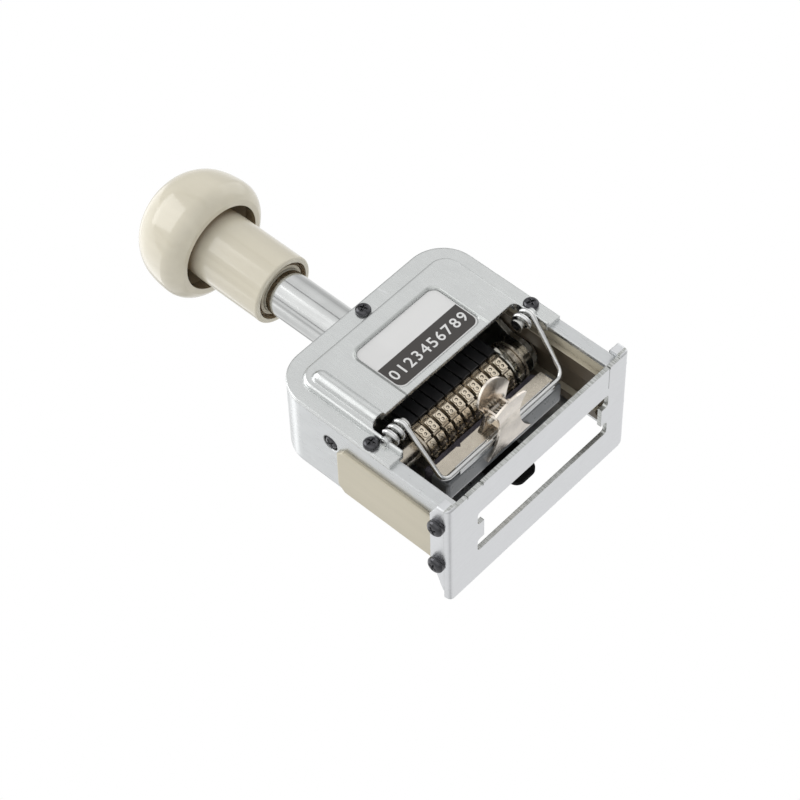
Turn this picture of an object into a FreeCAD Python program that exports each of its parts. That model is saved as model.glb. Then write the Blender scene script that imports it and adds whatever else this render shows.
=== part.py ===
import FreeCAD, Part
import math
import os
import Sketcher

# Self-inking numbering machine, in millimetres.
# +Z runs up the plunger to the knob, -Y is the front, and the origin is the middle of the
# underside of the base plate.

# Driving sizes. Each becomes a cell of the sheet, and every feature is bound to those cells.
SIZES = {
    # stroke of the plunger, clearances and cutting allowance
    "stroke": 25.6,
    "overrun": 2.0,
    "push_gap": 0.04,
    "running_gap": 0.06,
    "side_gap": 0.15,
    "free_gap": 0.3,
    # casing
    "casing_depth": 29.3,
    "casing_reach": 19.5,
    "casing_sheet": 1.5,
    "casing_corner": 12.5,
    "casing_rear_round": 2.5,
    "leg_flange": 4.5,
    "top_flange": 5.5,
    "rear_wall_foot": 15.5,
    # front cover
    "cover_sheet": 1.5,
    "cover_foot": 24.9,
    "cover_rise": 1.8,
    "panel_margin": 5.0,
    "panel_round": 6.0,
    "panel_edge_round": 1.1,
    "window_top": 38.1,
    "window_round": 2.0,
    "rib_round": 2.6,
    "rib_sink": 0.6,
    "rib_wall": 1.2,
    "rib_margin": 4.9,
    "rib_drop": 6.1,
    "label_setoff": 2.3,
    "label_lift": 2.4,
    "label_width": 36.0,
    "label_tall": 20.2,
    "label_round": 3.0,
    "label_sink": 0.6,
    "label_film": 0.15,
    "lug_sheet": 1.2,
    "lug_tall": 3.4,
    # screws
    "pan_radius": 2.5,
    "pan_crown": 1.05,
    "pan_height": 1.7,
    "pan_shank": 1.2,
    "ear_screw_rise": 2.8,
    "top_screw_set": 3.1,
    "side_screw_drop": 3.6,
    "side_screw_set": 8.2,
    "side_hole_radius": 2.9,
    "base_pan_radius": 2.8,
    "base_pan_crown": 1.3,
    "base_pan_height": 2.0,
    "base_shank": 1.5,
    "base_shank_length": 6.0,
    "washer_radius": 2.7,
    "washer_thick": 0.8,
    "base_screw_z": 3.3,
    "rear_screw_set": 3.6,
    "rivet_radius": 2.3,
    "rivet_head": 0.6,
    "rivet_crown": 0.4,
    # stem tube and its nut
    "stem_setback": 16.8,
    "tube_radius": 7.8,
    "tube_bore": 6.6,
    "tube_lap": 2.0,
    "tube_engage": 12.0,
    "seat_rise": 0.2,
    "stem_nut_corner": 11.2,
    "stem_nut_thick": 4.0,
    # guides in the legs
    "guide_proud": 1.3,
    "groove_wall": 2.2,
    "guide_back_gap": 1.8,
    "leg_width": 6.5,
    "panel_lap": 0.5,
    "panel_drop": 7.0,
    "groove_half": 5.8,
    "guide_top": 52.5,
    "panel_chamfer": 2.6,
    # base plate
    "base_depth": 44.6,
    "base_sheet": 1.5,
    "base_bend_left": 2.6,
    "base_bend_right": 1.7,
    "base_flange": 6.6,
    "flange_slope_front": 4.0,
    "flange_foot_rear": 17.2,
    "flange_top_rear": 3.8,
    "base_rear_round": 3.4,
    "base_front_round": 1.0,
    "lip_length": 4.0,
    "lip_top": 4.2,
    "lip_out": 0.7,
    "lip_round": 1.0,
    "notch_wide": 0.6,
    "notch_deep": 0.8,
    "notch_step": 6.6,
    "stamp_setoff": 2.2,
    "stamp_half": 26.7,
    "stamp_front": 9.6,
    "stamp_rear": 9.2,
    "stamp_lobe": 2.9,
    "stamp_lobe_wide": 5.6,
    "stamp_round": 1.3,
    # aiming tab
    "tab_setoff": 2.2,
    "tab_half": 7.4,
    "tab_tip_half": 5.0,
    "tab_thick": 1.4,
    "tab_top": 34.0,
    "tab_shoulder": 14.0,
    "tab_foot": 5.8,
    "tab_tip_round": 3.0,
    # knob, sleeve, bush and rod
    "knob_radius": 21.3,
    "knob_crown": 34.0,
    "knob_side": 32.3,
    "knob_rim_radius": 17.2,
    "knob_rim_drop": 6.2,
    "knob_rim_wall": 1.9,
    "knob_cavity_radius": 17.2,
    "knob_ceiling_radius": 14.0,
    "knob_cap": 5.8,
    "boss_length": 4.0,
    "boss_gap": 2.4,
    "boss_radius": 7.0,
    "sleeve_radius": 12.1,
    "sleeve_bore": 10.3,
    "sleeve_edge_round": 0.7,
    "sleeve_gap": 6.6,
    "bush_set": 2.6,
    "bush_nose": 1.8,
    "bush_nose_wall": 1.1,
    "bush_length": 12.0,
    "rod_radius": 4.0,
    "rod_nut_corner": 7.2,
    "rod_nut_thick": 3.4,
    # return spring
    "spring_radius": 5.5,
    "spring_wire": 0.8,
    # wheel carriage
    "carriage_plate": 1.8,
    "carriage_gap": 0.6,
    "carriage_nose": 9.3,
    "carriage_tail": 8.7,
    "bridge_over": 9.6,
    "bridge_thick": 2.0,
    "nose_radius": 6.4,
    "nose_shoulder": 4.0,
    "nose_flare": 10.0,
    "runner_thick": 2.6,
    "runner_set": 5.0,
    # axle, nuts and spacers
    "axle_radius": 2.5,
    "axle_nut_corner": 4.3,
    "axle_nut_thick": 2.2,
    "spacer_radius": 3.6,
    "spacer_right": 4.225,
    "end_disc_radius": 7.6,
    "end_disc_thick": 0.8,
    # number wheels
    "works_setoff": 1.0,
    "figure_width": 2.7,
    "figure_radius": 8.4,
    "wheel_core": 7.5,
    "ratchet_width": 1.0,
    "ratchet_root": 6.0,
    "ratchet_tip": 7.1,
    # drive ratchet, feed arm and pawl
    "drive_disc_radius": 8.0,
    "drive_disc_thick": 0.6,
    "drive_width": 2.2,
    "drive_root": 5.6,
    "drive_tip": 7.4,
    "arm_hub": 6.8,
    "arm_thick": 1.6,
    "arm_tail_back": 4.6,
    "arm_tail_up": 9.2,
    "arm_tail_radius": 2.5,
    "pawl_pin_radius": 1.2,
    "pawl_width": 1.9,
    # detent fingers, rod and leaf comb
    "finger_width": 3.2,
    "finger_thick": 1.5,
    "finger_lap": 1.0,
    "finger_reach": 22.4,
    "detent_rod_radius": 1.2,
    "detent_hub": 2.5,
    "leaf_thick": 0.35,
    "leaf_width": 2.4,
    "leaf_set": 5.0,
    # bail, pins and hem channel
    "bail_pin_radius": 1.5,
    "bail_pin_head": 2.2,
    "bail_pin_head_thick": 0.6,
    "bail_rivet": 1.0,
    "bail_pivot_out": 2.5,
    "bail_pivot_z": 31.5,
    "bail_wire": 0.85,
    "bail_coil_pitch": 2.5,
    "coil_gap": 0.25,
    "bail_corner_out": 1.3,
    "bail_bend": 3.0,
    "hem_reach": 9.3,
    "hem_z": 15.2,
    "hem_end_gap": 0.8,
    "hem_setoff": 1.3,
    "hem_sheet": 0.25,
    "hem_grip": 0.3,
    "hem_left_in": 2.3,
    # pad tray, ink pad and clamp plate
    "tray_half": 26.0,
    "tray_wall": 1.0,
    "tray_depth": 6.4,
    "pad_proud": 0.7,
    "clamp_proud": 1.1,
    "tray_rear": 2.6,
    "tray_rear_round": 4.0,
    "tray_front_round": 0.8,
    "tray_end_round": 1.4,
    "pad_strip_front": 5.4,
    "pad_strip_rear": 0.6,
    "clamp_half": 24.3,
    "clamp_thick": 0.9,
    "clamp_notch": 0.9,
    "clamp_notch_at": 13.0,
    # finger clip
    "clip_sheet": 0.8,
    "clip_setoff": 1.6,
    "clip_pivot_out": 6.9,
    "clip_pivot_rise": 1.4,
    "clip_pin_radius": 0.8,
    "clip_pin_half": 5.4,
    "clip_ear_half": 4.4,
    "clip_fold_out": 1.1,
    "clip_jaw_reach": 3.8,
    "clip_jaw_half": 9.7,
    "clip_tab_half": 6.9,
    "clip_tab_shoulder": 23.0,
    "clip_tab_arc": 11.9,
    "clip_tab_drop": 0.9,
    "clip_side_arc": 14.5,
    "lever_jaw_half": 6.1,
    "lever_shoulder": 21.5,
    "lever_arc": 7.3,
    "lever_side_arc": 10.8,
    "lever_rise": 3.7,
    "lever_curl": 23.0,
    "clip_spring_wire": 0.35,
    "clip_spring_radius": 1.6,
    "clip_spring_half": 2.6,
}

WHEELS = 10
FIGURES = 10
SPRING_TURNS = 9
LEFT_BAIL_TURNS = 2.25
RIGHT_BAIL_TURNS = 1.5
CLIP_TURNS = 4


# A length that carries its value and the sheet expression that it comes from
class Size:
    def __init__(self, value, text):
        self.value = float(value)
        self.text = text

    def __add__(self, other):
        other = linked(other)
        return Size(self.value + other.value, "(%s + %s)" % (self.text, other.text))

    def __sub__(self, other):
        other = linked(other)
        return Size(self.value - other.value, "(%s - %s)" % (self.text, other.text))

    def __mul__(self, other):
        other = linked(other)
        return Size(self.value * other.value, "(%s * %s)" % (self.text, other.text))

    def __truediv__(self, other):
        other = linked(other)
        return Size(self.value / other.value, "(%s / %s)" % (self.text, other.text))

    def __radd__(self, other):
        return linked(other) + self

    def __rsub__(self, other):
        return linked(other) - self

    def __rmul__(self, other):
        return linked(other) * self

    def __neg__(self):
        return Size(-self.value, "(0 - %s)" % self.text)


def linked(number):
    if isinstance(number, Size):
        return number
    return Size(number, "(%.12g)" % number)


doc = FreeCAD.newDocument("numbering_machine")
sheet = doc.addObject("Spreadsheet::Sheet", "Sizes")


class Named:
    pass


s = Named()
for row, (alias, millimetres) in enumerate(SIZES.items(), start=1):
    sheet.set("A%d" % row, alias)
    sheet.set("B%d" % row, repr(millimetres))
    sheet.setAlias("B%d" % row, alias)
    setattr(s, alias, Size(millimetres, "Sizes.%s" % alias))


# A size that can't be set by itself: a cell of its own that is worked out from the others
def derive(alias, size):
    row = len(vars(s)) + 1
    sheet.set("A%d" % row, alias)
    sheet.set("B%d" % row, "=" + size.text.replace("Sizes.", ""))
    sheet.setAlias("B%d" % row, alias)
    setattr(s, alias, Size(size.value, "Sizes.%s" % alias))


# Widths, from the wheels outwards
derive("wheel_pitch", s.figure_width + s.ratchet_width + s.side_gap)
derive("drive_left", s.works_setoff + s.wheel_pitch * ((WHEELS - 1) / 2) + s.figure_width / 2 + s.ratchet_width)
derive("feed_arm_left", s.drive_left + s.drive_disc_thick + s.drive_width + s.side_gap)
derive("works_right", s.feed_arm_left + s.arm_thick + s.side_gap)
derive("carriage_outer", s.works_right + s.spacer_right + s.carriage_plate)
derive("runner_outer", s.carriage_outer + s.runner_thick)
derive("axle_half", s.carriage_outer + s.axle_nut_thick + s.free_gap)
derive("guide_inner", s.carriage_outer + s.carriage_gap)
derive("guide_groove", s.runner_outer + s.free_gap)
derive("casing_width", (s.guide_groove + s.groove_wall + s.casing_sheet) * 2)
derive("base_width", s.casing_width + (s.guide_proud + s.base_sheet) * 2)
derive("window_half_width", s.guide_inner)
derive("panel_half_width", s.casing_width / 2 - s.panel_margin)
derive("ear_screw_setoff", s.casing_width / 2 - s.pan_radius)
derive("rib_setoff", s.panel_half_width - s.rib_margin)
derive("bail_right", s.window_half_width - s.bail_wire - s.coil_gap)
derive("bail_left", s.bail_right - s.bail_coil_pitch * LEFT_BAIL_TURNS)
derive("bail_arm_half", s.bail_left + s.works_setoff)
derive("hem_half", s.bail_arm_half - s.bail_bend - s.hem_end_gap)

# Depths
derive("guide_rear", s.casing_depth - s.casing_reach - s.casing_sheet - s.guide_back_gap)
derive("panel_rear", s.guide_rear + s.panel_lap)
derive("panel_front", s.casing_reach - s.leg_width)
derive("base_screw_front", s.casing_reach - s.leg_flange)
derive("base_screw_rear", s.panel_rear - s.rear_screw_set)
derive("carriage_front", s.casing_reach - s.stem_setback + s.carriage_nose)
derive("carriage_rear", s.stem_setback - s.casing_reach + s.carriage_tail)
derive("bail_pivot_reach", s.casing_reach + s.bail_pivot_out)
derive("clip_pivot_reach", s.hem_reach + s.clip_pivot_out)

# Heights: the figures reach the paper when the plunger has gone its stroke
derive("axle_z", s.stroke + s.figure_radius)
derive("finger_foot", s.axle_z + s.finger_lap)
derive("detent_rod_z", s.axle_z + s.finger_reach)
derive("finger_top", s.detent_rod_z - s.finger_lap)
derive("leaf_foot", s.finger_foot + s.leaf_set)
derive("leaf_top", s.finger_top - s.leaf_width)
derive("carriage_top", s.detent_rod_z + s.bridge_over)
derive("runner_foot", s.axle_z + s.runner_set)
derive("runner_top", s.carriage_top - s.bridge_thick * 2)
derive("rod_foot", s.carriage_top - s.bridge_thick - s.rod_nut_thick - s.free_gap * 2)
derive("tube_foot", s.carriage_top + s.free_gap)
derive("casing_height", s.tube_foot + s.tube_lap + s.stem_nut_thick + s.casing_sheet)
derive("spring_seat", s.casing_height + s.seat_rise)
derive("sleeve_foot", s.casing_height + s.stroke + s.sleeve_gap)
derive("bush_foot", s.sleeve_foot + s.bush_set)
derive("tube_top", s.sleeve_foot + s.tube_engage)
derive("boss_foot", s.tube_top + s.stroke + s.boss_gap)
derive("knob_ceiling", s.boss_foot + s.boss_length)
derive("rod_top", s.knob_ceiling + s.boss_length)
derive("knob_top", s.rod_top + s.knob_cap)
derive("top_screw_z", s.casing_height - s.top_screw_set)
derive("panel_top", s.casing_height - s.top_screw_set * 2)
derive("rib_top", s.panel_top - s.rib_drop)
derive("label_height_mid", s.window_top + s.label_lift + s.label_tall / 2)
derive("side_screw_z", s.guide_top - s.side_screw_drop)
derive("panel_upper", s.guide_top - s.panel_drop)
derive("ear_screw_z", s.bail_pivot_z + s.ear_screw_rise)
derive("tray_foot", s.hem_z - s.hem_setoff)
derive("tray_rim", s.tray_foot + s.tray_depth)
derive("pad_height", s.tray_rim + s.pad_proud)
derive("pad_strip_top", s.stroke - s.free_gap)
derive("clamp_top", s.tray_rim + s.clamp_proud)
derive("clip_pivot_z", s.hem_z + s.clip_pivot_rise)
doc.recompute()


# Helpers that make bound features

def bind(thing, prop, size):
    thing.setExpression(prop, linked(size).text)


def place(thing, x=0, y=0, z=0, turn=None):
    if turn is not None:
        axis, degrees = turn
        thing.Placement = FreeCAD.Placement(FreeCAD.Vector(), FreeCAD.Rotation(FreeCAD.Vector(*axis), degrees))
    for prop, size in (("x", x), ("y", y), ("z", z)):
        bind(thing, "Placement.Base.%s" % prop, size)
    return thing


def box(name, x, y, z):
    thing = doc.addObject("Part::Box", name)
    for prop, (low, high) in (("Length", x), ("Width", y), ("Height", z)):
        bind(thing, prop, linked(high) - low)
    return place(thing, x[0], y[0], z[0])


TURNS_TO_AXIS = {"x": ((0, 1, 0), 90), "y": ((1, 0, 0), -90), "z": None}


# A round bar along an axis, from low to high, centred on the two other coordinates
def bar(name, axis, radius, low, high, first, second):
    thing = doc.addObject("Part::Cylinder", name)
    bind(thing, "Radius", radius)
    bind(thing, "Height", linked(high) - low)
    spot = {"x": (low, first, second), "y": (first, low, second), "z": (first, second, low)}[axis]
    return place(thing, *spot, turn=TURNS_TO_AXIS[axis])


# A six-sided bar along an axis
def hexagon(name, axis, corner, low, high, first, second):
    thing = doc.addObject("Part::Prism", name)
    thing.Polygon = 6
    bind(thing, "Circumradius", corner)
    bind(thing, "Height", linked(high) - low)
    spot = {"x": (low, first, second), "y": (first, low, second), "z": (first, second, low)}[axis]
    return place(thing, *spot, turn=TURNS_TO_AXIS[axis])


def fuse(name, *shapes):
    thing = doc.addObject("Part::MultiFuse", name)
    thing.Shapes = list(shapes)
    return thing


def cut(name, base, *tools):
    thing = doc.addObject("Part::Cut", name)
    thing.Base = base
    thing.Tool = tools[0] if len(tools) == 1 else fuse(name + "_tools", *tools)
    return thing


def common(name, one, other):
    thing = doc.addObject("Part::Common", name)
    thing.Base = one
    thing.Tool = other
    return thing


def group(name, *shapes):
    thing = doc.addObject("Part::Compound", name)
    thing.Links = list(shapes)
    return thing


def mirrored(name, source):
    thing = doc.addObject("Part::Mirroring", name)
    thing.Source = source
    thing.Normal = (1, 0, 0)
    return thing


# Geometry of one outline: vertices (u, v) or (u, v, radius), where the radius belongs to the arc
# that arrives at the vertex, positive when it turns left; or ("circle", u, v, radius)
def draw_loop(sketch, loop):
    if loop[0] == "circle":
        u, v, radius = (linked(item) for item in loop[1:])
        circle = Part.Circle(FreeCAD.Vector(u.value, v.value, 0), FreeCAD.Vector(0, 0, 1), radius.value)
        index = sketch.addGeometry(circle, False)
        pin_point(sketch, index, 3, u, v)
        set_radius(sketch, index, radius)
        return
    points = [(linked(item[0]), linked(item[1])) for item in loop]
    ends = []
    for number, item in enumerate(loop):
        start = points[number - 1]
        finish = points[number]
        radius = linked(item[2]) if len(item) > 2 else None
        ends.append(draw_segment(sketch, start, finish, radius))
    for number, (index, first, last) in enumerate(ends):
        following = ends[(number + 1) % len(ends)]
        sketch.addConstraint(Sketcher.Constraint("Coincident", index, last, following[0], following[1]))
        pin_point(sketch, index, last, *points[number])


def draw_segment(sketch, start, finish, radius):
    a = FreeCAD.Vector(start[0].value, start[1].value, 0)
    b = FreeCAD.Vector(finish[0].value, finish[1].value, 0)
    if radius is None:
        return sketch.addGeometry(Part.LineSegment(a, b), False), 1, 2
    chord = b - a
    left = FreeCAD.Vector(-chord.y, chord.x, 0)
    left.normalize()
    rise = math.sqrt(max(radius.value ** 2 - chord.Length ** 2 / 4, 0))
    turns_left = radius.value > 0
    centre = (a + b) * 0.5 + left * (rise if turns_left else -rise)
    circle = Part.Circle(centre, FreeCAD.Vector(0, 0, 1), abs(radius.value))
    begin, end = (a, b) if turns_left else (b, a)
    angles = [math.atan2(point.y - centre.y, point.x - centre.x) for point in (begin, end)]
    index = sketch.addGeometry(Part.ArcOfCircle(circle, *angles), False)
    set_radius(sketch, index, radius if turns_left else -radius)
    return (index, 1, 2) if turns_left else (index, 2, 1)


def pin_point(sketch, index, end, u, v):
    for kind, size in (("DistanceX", u), ("DistanceY", v)):
        number = sketch.addConstraint(Sketcher.Constraint(kind, -1, 1, index, end, size.value))
        sketch.setExpression("Constraints[%d]" % number, size.text)


def set_radius(sketch, index, radius):
    number = sketch.addConstraint(Sketcher.Constraint("Radius", index, radius.value))
    sketch.setExpression("Constraints[%d]" % number, radius.text)


PLANES = {"x": "YZ_Plane", "y": "XZ_Plane", "z": "XY_Plane"}


def body_sketch(name, axis, offset, loops):
    body = doc.addObject("PartDesign::Body", name)
    sketch = body.newObject("Sketcher::SketchObject", name + "_sketch")
    plane = next(item for item in body.Origin.OriginFeatures if item.Role == PLANES[axis])
    sketch.AttachmentSupport = [(plane, "")]
    sketch.MapMode = "FlatFace"
    bind(sketch, "AttachmentOffset.Base.z", offset)
    for loop in loops:
        draw_loop(sketch, loop)
    return body, sketch


# A padded outline from low to high along an axis. Across X the outline is drawn in (y, z), across
# Y in (x, z), where the sketch plane faces -Y, and across Z in (x, y).
def prism(name, axis, low, high, *loops):
    offset = -linked(high) if axis == "y" else linked(low)
    body, sketch = body_sketch(name, axis, offset, loops)
    pad = body.newObject("PartDesign::Pad", name + "_pad")
    pad.Profile = sketch
    bind(pad, "Length", linked(high) - low)
    return body


# A half outline in (radius, z) turned about a vertical axis
def turned(name, loop, x=0, y=0):
    body, sketch = body_sketch(name, "y", linked(0), [loop])
    turn = body.newObject("PartDesign::Revolution", name + "_turn")
    turn.Profile = sketch
    turn.ReferenceAxis = (sketch, ["V_Axis"])
    turn.Angle = 360
    return place(body, x, y, 0)


def round_edges(body, name, radius, chosen):
    doc.recompute()
    base = body.Tip
    edges = ["Edge%d" % number for number, edge in enumerate(base.Shape.Edges, start=1) if chosen(edge)]
    fillet = body.newObject("PartDesign::Fillet", name)
    fillet.Base = (base, edges)
    bind(fillet, "Radius", radius)
    return body


# A feature of the body that is repeated evenly about the X axis of its origin
def repeat_round(body, name, features, count):
    pattern = body.newObject("PartDesign::PolarPattern", name)
    pattern.Originals = features
    axis = next(item for item in body.Origin.OriginFeatures if item.Role == "X_Axis")
    pattern.Axis = (axis, [""])
    pattern.Angle = 360
    pattern.Occurrences = count
    body.Tip = pattern
    return body


def add_pad(body, name, axis, low, high, *loops):
    sketch = body.newObject("Sketcher::SketchObject", name + "_sketch")
    plane = next(item for item in body.Origin.OriginFeatures if item.Role == PLANES[axis])
    sketch.AttachmentSupport = [(plane, "")]
    sketch.MapMode = "FlatFace"
    bind(sketch, "AttachmentOffset.Base.z", -linked(high) if axis == "y" else linked(low))
    for loop in loops:
        draw_loop(sketch, loop)
    pad = body.newObject("PartDesign::Pad", name)
    pad.Profile = sketch
    bind(pad, "Length", linked(high) - low)
    return pad


def rounded_box_loop(left, right, low, high, radius):
    return [
        (right - radius, low), (right, low + radius, radius),
        (right, high - radius), (right - radius, high, radius),
        (left + radius, high), (left, high - radius, radius),
        (left, low + radius), (left + radius, low, radius),
    ]


# An outline square at its foot and rounded at its two upper corners
def arched_loop(half, low, high, radius):
    return [
        (half, low), (half, high - radius), (half - radius, high, radius),
        (-half + radius, high), (-half, high - radius, radius), (-half, low),
    ]


# Wire paths of tangent arcs and straight runs

def arc_between(start, direction, finish):
    chord = finish - start
    along = chord.normalize() if chord.Length else chord
    chord = finish - start
    bulge = direction - along * direction.dot(along)
    if bulge.Length < 1e-9:
        return Part.LineSegment(start, finish).toShape()
    bulge.normalize()
    half_angle = math.acos(max(-1.0, min(1.0, direction.dot(along)))) / 2
    middle = (start + finish) * 0.5 + bulge * (chord.Length / 2 * math.tan(half_angle))
    return Part.Arc(start, middle, finish).toShape()


# Two arcs that leave start and reach finish along the given directions
def biarc(start, leave, finish, arrive):
    span = finish - start
    both = leave + arrive
    bend = 2 * (1 - leave.dot(arrive))
    along = span.dot(both)
    if bend < 1e-9:
        reach = span.dot(span) / (2 * along)
    else:
        reach = (-along + math.sqrt(along * along + bend * span.dot(span))) / bend
    joint = (start + finish) * 0.5 + (leave - arrive) * (reach / 2)
    turn_back = arc_between(finish, -arrive, joint)
    return [arc_between(start, leave, joint), turn_back]


def path_through(stations):
    edges = []
    for (start, leave), (finish, arrive) in zip(stations, stations[1:]):
        span = finish - start
        straight = leave.cross(span).Length < 1e-6 and arrive.cross(span).Length < 1e-6
        if straight:
            edges.append(Part.LineSegment(start, finish).toShape())
        else:
            edges += biarc(start, leave, finish, arrive)
    return Part.Wire(Part.__sortEdges__(edges))


def tube_on(wire, start, direction, radius):
    ring = Part.Wire([Part.makeCircle(radius, start, direction)])
    return wire.makePipeShell([ring], True, False)


# Smallest gap between parts of the wire that lie further apart along it than half a turn
def least_gap(wire, radius, skip):
    points = wire.discretize(Distance=radius * 0.6)
    step = wire.Length / (len(points) - 1)
    apart = int(skip / step) + 1
    least = min(
        (points[one] - points[other]).Length
        for one in range(len(points))
        for other in range(one + apart, len(points))
    )
    return least - 2 * radius


def solid_feature(name, shape):
    thing = doc.addObject("Part::Feature", name)
    thing.Shape = shape
    return thing


# Shared places
front = -s.casing_reach
rear = front + s.casing_depth
half_width = s.casing_width / 2
cover_front = front - s.cover_sheet
panel_face = cover_front - s.cover_rise
stem_y = front + s.stem_setback
axle_y = stem_y
pieces = {}


def keep(label, thing):
    thing.Label = label
    pieces[label] = thing
    return thing


# Screws: a turned master with its seat at z = 0, placed where it is used

def pan_screw(name, radius, height, crown, shank, length):
    return turned(name, [
        (shank, 0), (radius, 0), (radius, height - crown), (radius - crown, height, crown),
        (0, height), (0, -length), (shank, -length),
    ])


FACING = {"-x": ((0, 1, 0), -90), "+x": ((0, 1, 0), 90), "-y": ((1, 0, 0), 90)}


def placed_copy(name, source, facing, x, y, z):
    return place(group(name, source), x, y, z, turn=FACING[facing])


def make_screws():
    length = s.cover_sheet + s.casing_sheet
    small = pan_screw("pan_screw", s.pan_radius, s.pan_height, s.pan_crown, s.pan_shank, length)
    spots = [
        (linked(0), s.top_screw_z), (s.ear_screw_setoff, s.ear_screw_z), (-s.ear_screw_setoff, s.ear_screw_z),
    ]
    cover = [
        placed_copy("cover_screw_%d" % number, small, "-y", x, cover_front, z)
        for number, (x, z) in enumerate(spots, start=1)
    ]
    keep("cover_screws", group("cover_screws", *cover))
    seat = half_width - s.casing_sheet
    y = front + s.side_screw_set
    sides = [
        placed_copy("side_screw_left", small, "-x", -seat, y, s.side_screw_z),
        placed_copy("side_screw_right", small, "+x", seat, y, s.side_screw_z),
    ]
    keep("side_screws", group("side_screws", *sides))
    length = s.base_shank_length
    big = pan_screw("base_pan_screw", s.base_pan_radius, s.base_pan_height, s.base_pan_crown, s.base_shank, length)
    ring = turned("spring_washer", [
        (s.base_shank, 0), (s.washer_radius, 0), (s.washer_radius, s.washer_thick), (s.base_shank, s.washer_thick),
    ])
    low = pan_screw("base_rivet", s.rivet_radius, s.rivet_head, s.rivet_crown, s.base_shank, length)
    face = s.base_width / 2
    screws = []
    washers = []
    rivets = []
    for number, y in enumerate((-s.base_screw_front, s.base_screw_rear), start=1):
        screws.append(placed_copy("base_screw_%d" % number, big, "-x", -face - s.washer_thick, y, s.base_screw_z))
        washers.append(placed_copy("base_washer_%d" % number, ring, "-x", -face, y, s.base_screw_z))
        rivets.append(placed_copy("base_rivet_%d" % number, low, "+x", face, y, s.base_screw_z))
    keep("base_screws", group("base_screws", *screws))
    keep("spring_washers", group("spring_washers", *washers))
    keep("base_rivets", group("base_rivets", *rivets))


def make_casing():
    foot = s.base_sheet
    shell = prism("casing_block", "y", front, rear, arched_loop(half_width, foot, s.casing_height, s.casing_corner))

    def at_rear(edge):
        middle = edge.CenterOfMass
        return abs(middle.y - rear.value) < 1e-4 and middle.z > foot.value + 1e-4

    round_edges(shell, "casing_rear_fillet", s.casing_rear_round, at_rear)
    inside = half_width - s.casing_sheet
    hollow = prism(
        "casing_hollow", "y", front + s.casing_sheet, rear - s.casing_sheet,
        arched_loop(inside, foot - s.overrun, s.casing_height - s.casing_sheet, s.casing_corner - s.casing_sheet))

    def at_hollow_rear(edge):
        middle = edge.CenterOfMass
        return abs(middle.y - (rear - s.casing_sheet).value) < 1e-4 and middle.z > (foot - s.overrun).value + 1e-4

    round_edges(hollow, "hollow_rear_fillet", s.casing_rear_round - s.casing_sheet, at_hollow_rear)
    mouth_half = half_width - s.leg_flange
    mouth = prism(
        "casing_mouth", "y", front - s.overrun, front + s.casing_sheet + s.free_gap,
        arched_loop(mouth_half, foot - s.overrun, s.casing_height - s.top_flange, s.casing_corner - s.leg_flange))
    rear_mouth = box(
        "casing_rear_mouth", (-mouth_half, mouth_half), (rear - s.casing_sheet - s.free_gap, rear + s.overrun),
        (foot - s.overrun, s.rear_wall_foot))
    windows = prism("guide_windows", "x", -half_width - s.overrun, half_width + s.overrun, guide_panel_loop(foot - s.overrun))
    stem_hole = bar(
        "stem_hole", "z", s.tube_radius + s.push_gap, s.casing_height - s.casing_sheet - s.overrun,
        s.casing_height + s.overrun, linked(0), stem_y)
    side_holes = bar(
        "side_screw_holes", "x", s.side_hole_radius, -half_width - s.overrun, half_width + s.overrun,
        front + s.side_screw_set, s.side_screw_z)
    leg_holes = bar(
        "leg_screw_holes", "x", s.base_shank + s.push_gap, -half_width - s.overrun, half_width + s.overrun,
        -s.base_screw_front, s.base_screw_z)
    keep("casing", cut(
        "casing", shell, hollow, mouth, rear_mouth, windows, stem_hole, side_holes, leg_holes,
        *cover_holes("flange")))


# Shank holes of the three cover screws, through cover and flange
def cover_holes(name):
    spots = [
        (linked(0), s.top_screw_z), (s.ear_screw_setoff, s.ear_screw_z), (-s.ear_screw_setoff, s.ear_screw_z),
    ]
    return [
        bar("%s_hole_%d" % (name, number), "y", s.pan_shank + s.push_gap, panel_face - s.overrun,
            front + s.casing_sheet + s.free_gap, x, z)
        for number, (x, z) in enumerate(spots, start=1)
    ]


# Outline of the guide's outer panel in (y, z), with its two upper corners cut off
def guide_panel_loop(foot):
    near = -s.panel_front
    far = s.panel_rear
    top = s.panel_upper
    corner = s.panel_chamfer
    return [
        (far, foot), (far, top - corner), (far - corner, top), (near + corner, top), (near, top - corner), (near, foot),
    ]


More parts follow.
